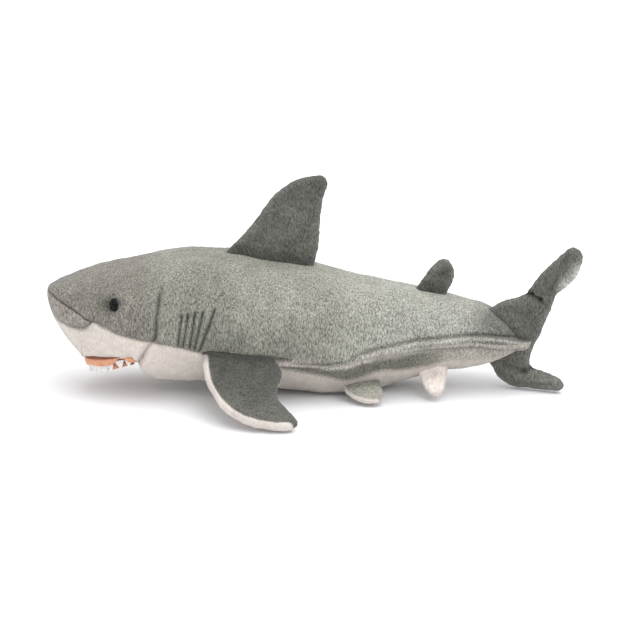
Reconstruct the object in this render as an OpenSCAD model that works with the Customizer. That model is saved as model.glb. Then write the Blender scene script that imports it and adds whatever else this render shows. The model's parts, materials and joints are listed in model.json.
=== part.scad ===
// Plush shark: sewn fabric panels over soft filling, with stuffed fins on flexible seams.
// Nose towards -X, back up (+Z), the shark's left side towards -Y. Millimetres.
// Origin: centre of the bounding box in X and Y, on the surface that the belly rests on.

/* [Fabric] */
// Thickness of the pile fabric, backing and pile together
fabric = 3; // [2:0.5:3.5]
// Thickness of the felt that the teeth are cut from
felt = 1.2; // [1:0.1:1.5]

/* [Fins] */
// Thickness of the first dorsal fin across the shark
dorsal_thick = 13; // [11:1:14]
// Thickness of the second dorsal fin
second_dorsal_thick = 10; // [8:1:11]
// Thickness of each pectoral fin
pectoral_thick = 10; // [9:1:10]
// Slope of the pectoral fins below level, in degrees
pectoral_droop = 30; // [28:1:30]
// Thickness of each pelvic fin
pelvic_thick = 8; // [7:0.5:8]
// Thickness of the anal fin
anal_thick = 8; // [7:0.5:8]
// Thickness of the tail fin
caudal_thick = 13; // [11:1:14]
// Turn of the tail fin towards the left side, in degrees
caudal_turn = 18; // [12:1:20]

/* [Eyes] */
// Diameter of each safety eye
eye_d = 12; // [10:1:13]

/* [Hidden] */
$fn = 32;
gap = 0.2;            // between two panels sewn edge to edge
air = 0.4;            // between pieces that move past each other
nose_x = -240;        // tip of the snout
neck_x = -160;        // where the head panels meet the back panels
bend_x = 65;          // vertical axis of the tail's side bend
fork_x = 157;         // vertical axis of the tail fin's swing
wedge = 0.16;         // how fast the ends at a bend lean away from its axis

// Sections along the body: [x, top, bottom, half width, roundness of the lower half]
sections = [
    [-240, 91, 86, 2.5, 2.0], [-238.5, 94.5, 79, 10, 2.0], [-235, 98, 67, 17, 2.1],
    [-229, 101.5, 56, 25, 2.2], [-221, 104.3, 45, 31.5, 2.4], [-212, 106.7, 37, 37, 2.6],
    [-206, 108.5, 31, 41, 3.0], [-192, 113, 31, 46, 3.2], [-176, 116.8, 31, 50, 3.0],
    [-166, 118.8, 29, 52.3, 2.8], [-160, 119.8, 26, 53.5, 2.6], [-156, 120.3, 19, 54.3, 2.4],
    [-148, 121.4, 12.5, 56, 2.3], [-127, 125.8, 9.5, 59, 2.2], [-98, 128.8, 8.5, 61, 2.1],
    [-70, 126.6, 6, 60.7, 2.1], [-40, 121.3, 3, 58.6, 2.1], [-12, 117, -1.2, 56.8, 2.1],
    [12, 111.4, -2.5, 54, 2.1], [36, 105.6, -2, 50, 2.1], [52, 102.2, -0.5, 47.3, 2.1],
    [65, 99.8, 3, 44.8, 2.1], [86, 95.9, 9.5, 41, 2.1], [104, 91.7, 14.6, 38, 2.1],
    [125, 86.3, 18.2, 34, 2.1], [140, 81.6, 20.6, 31, 2.1], [150, 77.4, 22.2, 29, 2.1],
    [158, 73.5, 24, 26.5, 2.1], [166, 68.5, 27.5, 23.5, 2.1], [176, 60.5, 33, 18.5, 2.1],
    [185, 53, 38.5, 13.5, 2.1], [192, 48, 42.5, 8, 2.1]];
top_at = [for (s = sections) [s[0], s[1]]];
bottom_at = [for (s = sections) [s[0], s[2]]];
half_at = [for (s = sections) [s[0], s[3]]];
round_at = [for (s = sections) [s[0], s[4]]];

// Angle of the side seam above level, from the neck to the tail
seam_at = [[-160, -8], [-148, -4.6], [-127, -8.7], [-98, -17.7], [-70, -20.3], [-40, -17.2],
    [-22, -13.6], [4, -15], [15, -16.4], [27, -14.7], [46, -8.2], [65, -6.2], [86, -5],
    [104, -4], [125, -1.4], [150, 1], [192, 6]];
// Angles of the lower and upper edges of the dark snout panel
snout_low_at = [[-240, -90], [-238.5, -88], [-235, -55], [-229, -24], [-221, -9], [-212, -4],
    [-206, -0.7], [-198, 2.8]];
snout_high_at = [[-240, 34], [-238.5, 34], [-229, 26.4], [-221, 21], [-214, 16.7], [-206, 12.9],
    [-198, 5.5]];
// Lower edge of the grey head panels behind the snout panel
cheek_at = [[-198, 3.5], [-192, 2], [-184, -0.8], [-176, -3.6], [-166, -7], [-160, -8]];

// The mouth: a plane that rises towards the throat, measured at the front lip
lip_x = -208;
lip_z = 32;
lip_rise = 12;
function lip_height(x) = lip_z + tan(lip_rise) * (x - lip_x);

function half_height(x) = (lookup(x, top_at) - lookup(x, bottom_at)) / 2;
function mid_height(x) = (lookup(x, top_at) + lookup(x, bottom_at)) / 2;
function power(v, p) = sign(v) * pow(abs(v), p);
function skin_y(x, a, t) =
    (lookup(x, half_at) - t) * power(cos(a), 2 / (sin(a) > 0 ? 2.1 : lookup(x, round_at)));
function skin_z(x, a, t) =
    mid_height(x) + (half_height(x) - t)
    * power(sin(a), 2 / (sin(a) > 0 ? 2.1 : lookup(x, round_at)));
// Lowest height allowed at x: the lips over the mouth, the resting surface elsewhere
function floor_height(x, t) =
    x < lip_x ? max(0, lookup(x, bottom_at)) + t : x < neck_x - 1 ? lip_height(x) + t : t;
function lean(x, y, ends) = x + (x == ends[0] ? wedge * abs(y) : x == ends[1] ? -wedge * abs(y) : 0);
function skin(x, a, t, ends) =
    let (y = skin_y(x, a, t)) [lean(x, y, ends), y, max(skin_z(x, a, t), floor_height(x, t))];

// One curved panel: rows of points along xs, spread over the angles low(x) to high(x)
module panel(xs, lows, highs, steps, ends = [9999, 9999]) {
    n = len(xs);
    m = steps + 1;
    function angle(i, j) = lows[i] + (highs[i] - lows[i]) * j / steps;
    function inner_x(i) = max(xs[i], nose_x + fabric);
    outer = [for (i = [0 : n - 1], j = [0 : steps]) skin(xs[i], angle(i, j), 0, ends)];
    inner = [for (i = [0 : n - 1], j = [0 : steps])
        let (p = skin(inner_x(i), angle(i, j), fabric, ends)) [lean(inner_x(i), p[1],
            inner_x(i) == xs[i] ? ends : [9999, 9999]), p[1], p[2]]];
    base = n * m;
    sheets = [for (i = [0 : n - 2], j = [0 : steps - 1], k = [0, 1])
        let (a = i * m + j, b = a + 1, c = a + m, d = c + 1)
        k == 0 ? [[a, c, d], [a, d, b]] : [[base + a, base + d, base + c],
            [base + a, base + b, base + d]]];
    sides = [for (i = [0 : n - 2], k = [0, 1])
        let (a = i * m + k * steps, c = a + m)
        k == 0 ? [[a, base + a, base + c], [a, base + c, c]]
            : [[a, base + c, base + a], [a, c, base + c]]];
    caps = [for (j = [0 : steps - 1], k = [0, 1])
        let (a = k * (n - 1) * m + j, b = a + 1)
        k == 0 ? [[a, b, base + b], [a, base + b, base + a]]
            : [[a, base + b, b], [a, base + a, base + b]]];
    polyhedron([each outer, each inner],
        [for (g = [each sheets, each sides, each caps], f = g) f], convexity = 8);
}

// One closed round body: rings of points inset by t from the skin
module core(xs, t, ends = [9999, 9999], around = 24) {
    n = len(xs);
    points = [for (x = xs, j = [0 : around - 1]) skin(x, 360 * j / around, t, ends)];
    walls = [for (i = [0 : n - 2], j = [0 : around - 1])
        let (a = i * around + j, b = i * around + (j + 1) % around, c = a + around,
            d = b + around) each [[a, d, b], [a, c, d]]];
    fronts = [for (j = [1 : around - 2]) [0, j, j + 1]];
    last = (n - 1) * around;
    backs = [for (j = [1 : around - 2]) [last, last + j + 1, last + j]];
    polyhedron(points, [each walls, each fronts, each backs], convexity = 4);
}

module left() { mirror([0, 1, 0]) children(); }

// ---------------------------------------------------------------- body panels
snout_xs = [-240, -238.5, -235, -229, -221, -212, -206, -198];
module snout_side() {
    panel(snout_xs, [for (x = snout_xs) lookup(x, snout_low_at)],
        [for (x = snout_xs) lookup(x, snout_high_at)], 5);
}
module snout_panel() {
    color("#6f6f69") union() { snout_side(); left() snout_side(); }
}

head_xs = [-240, -238.5, -235, -229, -221, -212, -206, -198.2, -197.8, -192, -184, -176,
    -166, -160.1];
module head_side() {
    panel(head_xs,
        [for (x = head_xs) 0.25 + (x < -198 ? lookup(x, snout_high_at) : lookup(x, cheek_at))],
        [for (x = head_xs) 90 - 8 / (2 + lookup(x, half_at))], 8);
}
module head_panel_right() {
    color("#84847c") difference() { head_side(); left() eye_pocket(); }
}
module head_panel_left() {
    color("#84847c") difference() { left() head_side(); eye_pocket(); }
}

muzzle_xs = [-236.5, -235, -229, -221, -212, -208.1, -206, -192, -176, -166, -161.1];
function muzzle_low(x) = x < lip_x ? -90
    : -asin(pow((mid_height(x) - lip_height(x)) / half_height(x), lookup(x, round_at) / 2));
module muzzle_side() {
    panel(muzzle_xs, [for (x = muzzle_xs) muzzle_low(x)],
        [for (x = muzzle_xs) (x < -198 ? lookup(x, snout_low_at) : lookup(x, cheek_at)) - 0.25],
        7);
}
module muzzle_panel() {
    color("#dad6cd") difference() {
        union() { muzzle_side(); left() muzzle_side(); }
        mouth_frame() translate([-1, -60, -20]) cube([60, 120, 20.1]);
    }
}

torso_xs = [-159.9, -156, -148, -127, -98, -70, -40, -12, 12, 36, 52, 64.4];
module back_side(xs, ends) {
    panel(xs, [for (x = xs) lookup(x, seam_at) + 0.15], [for (x = xs) 90 - 0.15], 9, ends);
}
module back_panel_right() { color("#9c9d94") back_side(torso_xs, [9999, 64.4]); }
module back_panel_left() { color("#9c9d94") left() back_side(torso_xs, [9999, 64.4]); }
module belly_panel() {
    color("#dad6cd") panel(torso_xs, [for (x = torso_xs) -180 - lookup(x, seam_at) + 0.15],
        [for (x = torso_xs) lookup(x, seam_at) - 0.15], 15, [9999, 64.4]);
}
module body_filling() {
    color("#f2efe8") difference() {
        core([-236, -229, -221, -212, -206, -192, -176, -166, -161.2, -157, -148, -127, -98,
            -70, -40, -12, 12, 36, 52, 64.2], fabric + air, [9999, 64.2]);
        mouth_frame() translate([-6, -60, -20]) cube([54.5, 120, 21]);
        eye_cavity();
        left() eye_cavity();
    }
}

// ---------------------------------------------------------------- tail stalk
stalk_xs = [65.6, 86, 104, 125, 140, 149.6];
stalk_ends = [65.6, 149.6];
module tail_panel_right() { color("#8e8f87") back_side(stalk_xs, stalk_ends); }
module tail_panel_left() { color("#8e8f87") left() back_side(stalk_xs, stalk_ends); }
module tail_belly_panel() {
    color("#dad6cd") panel(stalk_xs, [for (x = stalk_xs) -180 - lookup(x, seam_at) + 0.2],
        [for (x = stalk_xs) lookup(x, seam_at) - 0.2], 13, stalk_ends);
}
module tail_filling() {
    color("#f2efe8") core([65.8, 86, 104, 125, 140, 149.4], fabric + air, [65.8, 149.4]);
}
// The panels close over the root of the tail fin as a keel on each side
module keel(side) {
    difference() {
        core([152.4, 158, 166, 176, 185, 192], 0, [152.4, 9999], 20);
        caudal_frame() scale([1, -side, 1])
            translate([-40, -100, -10]) cube([120, 100 + caudal_thick / 2 + gap, 120]);
    }
}
module keel_left() { color("#8e8f87") keel(1); }
module keel_right() { color("#8e8f87") keel(-1); }

// ---------------------------------------------------------------- stuffed fins
// Each fin is two trays sewn rim to rim over its filling, with a rolled edge on its hinge
module tray(outline, thick, root) {
    difference() {
        union() {
            linear_extrude(thick / 2) polygon(outline);
            intersection() {
                translate([root[0], 0, 0]) rotate([0, 90, 0])
                    cylinder(h = root[1] - root[0], r = thick / 2);
                translate([root[0] - 1, -thick, 0])
                    cube([root[1] - root[0] + 2, 2 * thick, thick]);
            }
        }
        translate([0, 0, -1]) linear_extrude(thick / 2 - fabric * 0.7 + 1)
            offset(delta = -fabric) polygon(outline);
        translate([-500, -500, -1]) cube([1000, 1000, 1 + gap / 2]);
    }
}
module fin_filling(outline, thick) {
    h = thick - 1.4 * fabric - 2 * gap;
    translate([0, 0, -h / 2]) linear_extrude(h) offset(delta = -fabric - gap) polygon(outline);
}

// First dorsal fin: x along its root, y away from the body
dorsal_root = 83;
dorsal_outline = [[0, 0], [14, 15], [22.5, 29], [32, 46.5], [37.5, 55], [48, 66], [59, 73],
    [69.5, 77], [75, 78], [80, 75], [82, 69], [80, 58], [80.5, 43], [82, 27], [83.5, 12], [83, 0]];
module dorsal_frame() {
    translate([-78, 0, 136]) rotate([0, 9.9, 0]) rotate([90, 0, 0]) children();
}
module dorsal_left_panel() {
    color("#5f605b") dorsal_frame() tray(dorsal_outline, dorsal_thick, [0, dorsal_root]);
}
module dorsal_right_panel() {
    color("#5f605b") dorsal_frame() mirror([0, 0, 1])
        tray(dorsal_outline, dorsal_thick, [0, dorsal_root]);
}
module dorsal_filling() {
    color("#f2efe8") dorsal_frame() fin_filling(dorsal_outline, dorsal_thick);
}

// Second dorsal fin
second_root = 30;
second_outline = [[0, 0], [4, 4.5], [8, 12], [13, 19.5], [17, 24], [21, 26], [26, 24.5],
    [30, 20.5], [33.5, 13], [33.5, 5.5], [30, 0]];
module second_dorsal_frame() {
    translate([90, 0, 101]) rotate([0, 13.6, 0]) rotate([90, 0, 0]) children();
}
module second_dorsal_left_panel() {
    color("#5f605b") second_dorsal_frame()
        tray(second_outline, second_dorsal_thick, [0, second_root]);
}
module second_dorsal_right_panel() {
    color("#5f605b") second_dorsal_frame() mirror([0, 0, 1])
        tray(second_outline, second_dorsal_thick, [0, second_root]);
}
module second_dorsal_filling() {
    color("#f2efe8") second_dorsal_frame() fin_filling(second_outline, second_dorsal_thick);
}

// Pectoral fins: x along the root, y outwards along the fin
pectoral_root = 64;
pectoral_outline = [[0, 0], [1, 8], [5, 25], [13, 42], [22, 54], [33, 63], [49, 70], [64, 72.5],
    [76, 71.5], [83, 66.5], [82.5, 60], [77, 52], [70.5, 43.5], [67, 35], [67, 26], [70.5, 16],
    [68.5, 6], [64, 0]];
module pectoral_frame() {
    translate([-99, -62.8, 45.3]) rotate([0, 4, 0]) rotate([-180 + pectoral_droop, 0, 0])
        children();
}
module pectoral_top() {
    pectoral_frame() mirror([0, 0, 1]) tray(pectoral_outline, pectoral_thick,
        [0, pectoral_root]);
}
module pectoral_under() {
    pectoral_frame() tray(pectoral_outline, pectoral_thick, [0, pectoral_root]);
}
module left_pectoral_top() { color("#5f605b") pectoral_top(); }
module left_pectoral_underside() { color("#dad6cd") pectoral_under(); }
module left_pectoral_filling() {
    color("#f2efe8") pectoral_frame() fin_filling(pectoral_outline, pectoral_thick);
}
module right_pectoral_top() { left() left_pectoral_top(); }
module right_pectoral_underside() { left() left_pectoral_underside(); }
module right_pectoral_filling() { left() left_pectoral_filling(); }

// Pelvic fins
pelvic_root = 36;
pelvic_outline = [[0, 0], [2, 6], [7, 13], [14, 19], [22, 22.5], [29, 23.5], [34, 20],
    [36.5, 12], [36, 0]];
module pelvic_frame() {
    translate([24.5, -41.4, 10.7]) rotate([0, -5.7, 4.6]) rotate([-180 + 22, 0, 0]) children();
}
module left_pelvic_top() {
    color("#75766f") pelvic_frame() mirror([0, 0, 1])
        tray(pelvic_outline, pelvic_thick, [0, pelvic_root]);
}
module left_pelvic_underside() {
    color("#dad6cd") pelvic_frame() tray(pelvic_outline, pelvic_thick, [0, pelvic_root]);
}
module left_pelvic_filling() {
    color("#f2efe8") pelvic_frame() fin_filling(pelvic_outline, pelvic_thick);
}
module right_pelvic_top() { left() left_pelvic_top(); }
module right_pelvic_underside() { left() left_pelvic_underside(); }
module right_pelvic_filling() { left() left_pelvic_filling(); }

// Anal fin, lying over towards the left side
anal_root = 30;
anal_outline = [[0, 0], [2, 10], [5, 17], [10, 24], [15, 25.5], [19, 24], [24, 13], [27, 6],
    [30, 0]];
module anal_frame() {
    translate([94, -11, 8.4]) rotate([0, -11.7, 0]) rotate([-180 + 15, 0, 0]) children();
}
module anal_fin_left_panel() {
    color("#dad6cd") anal_frame() mirror([0, 0, 1]) tray(anal_outline, anal_thick, [0, anal_root]);
}
module anal_fin_right_panel() {
    color("#dad6cd") anal_frame() tray(anal_outline, anal_thick, [0, anal_root]);
}
module anal_fin_filling() { color("#f2efe8") anal_frame() fin_filling(anal_outline, anal_thick); }

// Tail fin: x backwards from its hinge, y up
caudal_outline = [[0, 22], [9, 10], [18, 4.5], [26, 1.6], [44, 1], [62, 0.8], [69, 2.5],
    [71.5, 9], [65, 15.5], [53, 19.5], [42, 23], [39.5, 29], [43, 42], [48, 52], [52, 64],
    [58, 79], [60.5, 89], [64, 94], [71, 100], [78, 108], [82, 117], [85, 127], [83, 134.5],
    [76, 138.5], [69, 136], [56, 122.5], [45, 111], [37, 98.5], [28, 89.5], [16, 85], [8, 80.5],
    [0, 75]];
module caudal_frame() { translate([fork_x, 0, 0]) rotate([0, 0, -caudal_turn]) children(); }
module caudal_tray() {
    difference() {
        union() {
            rotate([90, 0, 0]) linear_extrude(caudal_thick / 2) polygon(caudal_outline);
            intersection() {
                translate([0, 0, 22]) cylinder(h = 53, r = caudal_thick / 2);
                translate([-20, -20, 0]) cube([40, 20, 100]);
            }
        }
        rotate([90, 0, 0]) translate([0, 0, -1])
            linear_extrude(caudal_thick / 2 - fabric * 0.7 + 1)
            offset(delta = -fabric) polygon(caudal_outline);
        translate([-50, -gap / 2, -50]) cube([200, 20, 300]);
    }
}
module caudal_left_panel() { color("#5f605b") caudal_frame() caudal_tray(); }
module caudal_right_panel() {
    color("#5f605b") caudal_frame() mirror([0, 1, 0]) caudal_tray();
}
module caudal_filling() {
    color("#f2efe8") caudal_frame() rotate([90, 0, 0]) fin_filling(caudal_outline, caudal_thick);
}

// ---------------------------------------------------------------- mouth
// Flat layout of the mouth: x backwards from the front lip, z up from the lip plane
module mouth_frame() {
    translate([lip_x, 0, lip_z]) rotate([0, -lip_rise, 0]) children();
}
lip_curve = [[0, 0], [0.8, 10], [3.5, 19], [8.5, 27], [16, 33.5], [26, 38.5], [38, 42.5],
    [48, 45]];
function both(curve) = [each curve, each [for (i = [len(curve) - 1 : -1 : 1])
    [curve[i][0], -curve[i][1]]]];
module mouth_plan(inset) { offset(delta = -inset) polygon(both(lip_curve)); }
module upper_gum() {
    color("#e2a184") mouth_frame() translate([0, 0, -6.5]) difference() {
        linear_extrude(6.4) mouth_plan(0);
        translate([0, 0, -1]) linear_extrude(9) mouth_plan(3);
        translate([44, -60, -1]) cube([20, 120, 9]);
        rotate([90, 0, 0]) translate([0, 0, -60]) linear_extrude(120)
            polygon([[26, -2], [26, -0.1], [37, 4.4], [60, 4.4], [60, -2]]);
    }
}
module mouth_lining() {
    color("#cf8a6c") mouth_frame() union() {
        translate([0, 0, -2]) linear_extrude(1.9) intersection() {
            mouth_plan(3.2);
            translate([0, -60]) square([48, 120]);
        }
    }
}
// Places of the teeth on one side: distance back, tooth length
teeth = [[4.3, 3.4, 6, 5], [5.5, 11.7, 6, 5], [8.4, 19.4, 6.5, 5.5], [13.8, 26.3, 7.5, 6],
    [21.2, 31.6, 8.5, 7], [30.7, 35.9, 9, 8], [40.2, 38.9, 8, 8]];
module tooth(t, slope) {
    translate([t[0], t[1], -4.5]) rotate([0, 0, slope]) rotate([90, 0, 0])
        translate([0, 0, -felt / 2]) linear_extrude(felt)
        polygon([[-t[3] / 2, 1], [t[3] / 2, 1], [t[3] / 2, 0], [0, -t[2]], [-t[3] / 2, 0]]);
}
module tooth_side() {
    slopes = [85, 73, 58, 41, 27, 18, 14];
    for (i = [0 : len(teeth) - 1]) tooth(teeth[i], slopes[i]);
}
module upper_teeth() {
    color("#fbf9f3") mouth_frame() union() {
        tooth_side();
        mirror([0, 1, 0]) tooth_side();
        translate([0, 0, -4.5]) difference() {
            linear_extrude(2.3) mouth_plan(3.3);
            translate([0, 0, -1]) linear_extrude(5) mouth_plan(3.3 + felt);
            translate([44, -60, -1]) cube([20, 120, 9]);
        }
    }
}
// Lower jaw: a thin padded flap hinged at the throat
jaw_x = -164.4;
jaw_z = 27.5;
jaw_roll = 3.8;
jaw_curve = [[-36.5, 0], [-35.5, 8], [-32, 16], [-26.5, 22], [-19, 26.5], [-10, 29], [0, 30]];
module jaw_plan(inset) { offset(delta = -inset) polygon(both(jaw_curve)); }
module jaw_frame() { translate([jaw_x, 0, jaw_z]) rotate([0, -lip_rise, 0]) children(); }
module jaw_half() {
    linear_extrude(jaw_roll) intersection() {
        jaw_plan(0);
        translate([-100, -100]) square([100, 200]);
    }
    intersection() {
        translate([0, -30, 0]) rotate([-90, 0, 0]) cylinder(h = 60, r = jaw_roll);
        translate([-10, -50, 0]) cube([20, 100, 10]);
    }
}
module jaw_shell() {
    difference() {
        jaw_half();
        translate([0, 0, -1]) linear_extrude(jaw_roll - 1) intersection() {
            jaw_plan(2);
            translate([-100, -100]) square([98, 200]);
        }
        translate([-100, -100, -1]) cube([200, 200, 1 + gap / 2]);
    }
}
module jaw_lining() { color("#e2a184") jaw_frame() jaw_shell(); }
module jaw_underside() { color("#dad6cd") jaw_frame() mirror([0, 0, 1]) jaw_shell(); }
module jaw_filling() {
    color("#f2efe8") jaw_frame() translate([0, 0, -jaw_roll + 2.2])
        linear_extrude(2 * jaw_roll - 4.4) intersection() {
            jaw_plan(2.3);
            translate([-100, -100]) square([97.7, 200]);
        }
}

// ---------------------------------------------------------------- eyes
eye_at = [-177.3, -43.8, 90.4];
module eye_frame() {
    translate(eye_at) rotate([0, 0, -142]) rotate([0, 84, 0]) children();
}
module eye_pocket() { eye_frame() sphere(r = eye_d / 2 + 1.6); }
module eye_cavity() {
    eye_frame() {
        sphere(r = eye_d / 2 + 1.6);
        translate([0, 0, -13.2]) cylinder(h = 14, r = 2.6);
        translate([0, 0, -12.4]) cylinder(h = 3, r = 7.4);
    }
}
module eye() {
    eye_frame() {
        intersection() {
            translate([0, 0, -2.5]) sphere(r = eye_d / 2 + 0.7);
            translate([0, 0, -1.5]) cylinder(h = 10, r = eye_d / 2);
        }
        translate([0, 0, -13]) cylinder(h = 12, r = 2);
    }
}
module eye_washer() {
    eye_frame() translate([0, 0, -12]) difference() {
        cylinder(h = 2, r = 7);
        translate([0, 0, -1]) cylinder(h = 4, r = 2.2);
    }
}
module left_eye() { color("#141414") eye(); }
module left_eye_washer() { color("#e8e8e4") eye_washer(); }
module right_eye() { left() left_eye(); }
module right_eye_washer() { left() left_eye_washer(); }

// ---------------------------------------------------------------- gill stitching
// Five tucks on each side, each held by one line of thread that lies on the skin
// each: place along the body, angle of its lower and upper end, lean
gills = [[-118.3, -9.4, 16.7, 7.7], [-113.3, -10.4, 17.4, 9.4], [-107.5, -12.5, 18.4, 9.3],
    [-101.8, -13.2, 19.2, 13.1], [-94.4, -14.3, 20.9, 19.8]];
module gill_side() {
    for (g = gills)
        translate([g[0], 0, mid_height(g[0])]) rotate([0, g[3], 0]) rotate([90, 0, 90])
            rotate([0, 0, g[1]]) rotate_extrude(angle = g[2] - g[1], $fn = 96)
            translate([lookup(g[0], half_at) + 1.6, 0]) circle(r = 0.7, $fn = 16);
}
module gill_stitches_right() { color("#3a3a37") gill_side(); }
module gill_stitches_left() { color("#3a3a37") left() gill_side(); }

// ---------------------------------------------------------------- output

snout_panel();
head_panel_left();
head_panel_right();
muzzle_panel();
back_panel_left();
back_panel_right();
belly_panel();
body_filling();
tail_panel_left();
tail_panel_right();
tail_belly_panel();
tail_filling();
keel_left();
keel_right();
dorsal_left_panel();
dorsal_right_panel();
dorsal_filling();
second_dorsal_left_panel();
second_dorsal_right_panel();
second_dorsal_filling();
left_pectoral_top();
left_pectoral_underside();
left_pectoral_filling();
right_pectoral_top();
right_pectoral_underside();
right_pectoral_filling();
left_pelvic_top();
left_pelvic_underside();
left_pelvic_filling();
right_pelvic_top();
right_pelvic_underside();
right_pelvic_filling();
anal_fin_left_panel();
anal_fin_right_panel();
anal_fin_filling();
caudal_left_panel();
caudal_right_panel();
caudal_filling();
upper_gum();
mouth_lining();
upper_teeth();
jaw_lining();
jaw_underside();
jaw_filling();
left_eye();
left_eye_washer();
right_eye();
right_eye_washer();
gill_stitches_left();
gill_stitches_right();
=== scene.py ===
"""Plush shark: sewn pile panels, stuffed fins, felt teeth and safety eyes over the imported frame."""

import json
import logging
import math
from dataclasses import dataclass, replace
from enum import Enum
from typing import Callable, Iterable, Sequence

import bmesh
import bpy
import numpy as np
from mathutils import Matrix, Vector
from mathutils.geometry import delaunay_2d_cdt

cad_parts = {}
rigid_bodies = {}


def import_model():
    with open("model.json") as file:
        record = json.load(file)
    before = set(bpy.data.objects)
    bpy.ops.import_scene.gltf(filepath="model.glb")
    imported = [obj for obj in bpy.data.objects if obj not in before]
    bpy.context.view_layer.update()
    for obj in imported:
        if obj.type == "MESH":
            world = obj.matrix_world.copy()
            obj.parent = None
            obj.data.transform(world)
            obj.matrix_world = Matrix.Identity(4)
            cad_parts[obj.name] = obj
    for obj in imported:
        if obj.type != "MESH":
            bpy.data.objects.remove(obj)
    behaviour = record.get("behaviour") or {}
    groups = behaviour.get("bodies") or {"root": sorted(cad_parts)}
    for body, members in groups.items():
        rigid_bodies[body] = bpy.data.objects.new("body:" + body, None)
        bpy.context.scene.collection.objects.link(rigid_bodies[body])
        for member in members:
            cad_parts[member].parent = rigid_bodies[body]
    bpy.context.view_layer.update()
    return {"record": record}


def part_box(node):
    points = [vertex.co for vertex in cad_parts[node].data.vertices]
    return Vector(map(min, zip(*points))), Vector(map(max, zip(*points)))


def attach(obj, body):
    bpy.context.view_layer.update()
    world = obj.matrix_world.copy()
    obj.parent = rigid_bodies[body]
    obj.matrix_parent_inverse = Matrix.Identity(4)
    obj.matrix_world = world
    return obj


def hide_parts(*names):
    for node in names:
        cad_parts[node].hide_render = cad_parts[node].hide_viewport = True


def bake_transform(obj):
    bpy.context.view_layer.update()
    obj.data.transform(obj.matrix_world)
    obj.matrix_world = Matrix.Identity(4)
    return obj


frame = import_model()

LOG = logging.getLogger("plush_shark")
MM = 0.001
JOINTS = {joint["name"]: joint for joint in frame["record"]["behaviour"]["joints"]}
BEND_X = JOINTS["tail_bend"]["pos_m"][0]
FORK_X = JOINTS["tail_fin_swing"]["pos_m"][0]
NOSE_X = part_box("snout_panel")[0][0]
TAIL_END_X = NOSE_X + 437 * MM
LIP_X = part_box("upper_gum")[0][0] - 0.8 * MM
NECK_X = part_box("muzzle_panel")[1][0] + 1 * MM
SPLIT_X = 0.5 * (BEND_X + FORK_X)  # the plain middle of the tail, where two skins meet
EYE_AT = (-0.1770, 0.0432, 0.0904)  # middle of the right eye

# World place, pattern place, side and distance in from the seam give N by 4 tints
Paint = Callable[[np.ndarray, np.ndarray, np.ndarray, np.ndarray], np.ndarray]


class Tone(Enum):
    """Dyed and airbrushed pile colours, some of them darkened as painted shade, as display colours from 0 to
    1.
    """

    HEAD = (0.516, 0.500, 0.467)
    SNOUT = (0.575, 0.553, 0.525)
    BACK = (0.582, 0.580, 0.537)
    # painted shade: a darker grey for the lower flank
    SHADED_FLANK = (0.526, 0.524, 0.484)
    TAIL = (0.632, 0.631, 0.596)
    FIN = (0.370, 0.368, 0.345)
    CREAM = (0.848, 0.812, 0.782)
    SHADE = (0.480, 0.474, 0.430)
    PELVIC = (0.700, 0.690, 0.645)
    CORAL = (0.880, 0.640, 0.510)
    # painted shade: coral darkened for the recesses of the mouth
    CORAL_IN_SHADE = (0.640, 0.370, 0.270)

    @property
    def linear(self) -> np.ndarray:
        """The colour as scene-linear values, which is what a shader takes."""
        value = np.array(self.value)
        return np.where(value <= 0.04045, value / 12.92, ((value + 0.055) / 1.055) ** 2.4)


# ------------------------------------------------------------------ small maths
class Curve:
    """A smooth curve through given knots that never overshoots them."""

    def __init__(self, knots: Sequence[tuple[float, float]]) -> None:
        """Fits the curve.

        Args:
            knots: (place, value) pairs with rising places.
        """
        self.x, self.y = np.array(knots, float).T
        step = np.diff(self.y) / np.diff(self.x)
        self.slope = np.zeros_like(self.y)
        left, right = step[:-1], step[1:]
        rising = left * right > 0
        total = np.where(rising, left + right, 1.0)
        self.slope[1:-1] = np.where(rising, 2 * left * right / total, 0.0)
        self.slope[0], self.slope[-1] = step[0], step[-1]

    def __call__(self, place: np.ndarray) -> np.ndarray:
        """Values of the curve.

        Args:
            place: where to read it; outside the knots the end value holds.

        Returns:
            One value for each place.
        """
        place = np.clip(place, self.x[0], self.x[-1])
        k = np.clip(np.searchsorted(self.x, place) - 1, 0, len(self.x) - 2)
        h = self.x[k + 1] - self.x[k]
        t = (place - self.x[k]) / h
        a, b = self.y[k], self.y[k + 1]
        return (
            (1 + 2 * t) * (1 - t) ** 2 * a
            + t * (1 - t) ** 2 * h * self.slope[k]
            + t * t * (3 - 2 * t) * b
            + t * t * (t - 1) * h * self.slope[k + 1]
        )


def smooth(low: float, high: float, value: np.ndarray) -> np.ndarray:
    """A soft step from 0 at low to 1 at high.

    Args:
        low: where the step starts.
        high: where the step ends; it may be below low for a falling step.
        value: the values to step.

    Returns:
        Numbers from 0 to 1.
    """
    t = np.clip((value - low) / (high - low), 0, 1)
    return t * t * (3 - 2 * t)


def bell(value: np.ndarray, width: float) -> np.ndarray:
    """A rounded bump of height 1 at value 0.

    Args:
        value: distance from the middle of the bump.
        width: distance at which it has fallen to about a third.

    Returns:
        Heights from 0 to 1.
    """
    return np.exp(-((value / width) ** 2))


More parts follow.
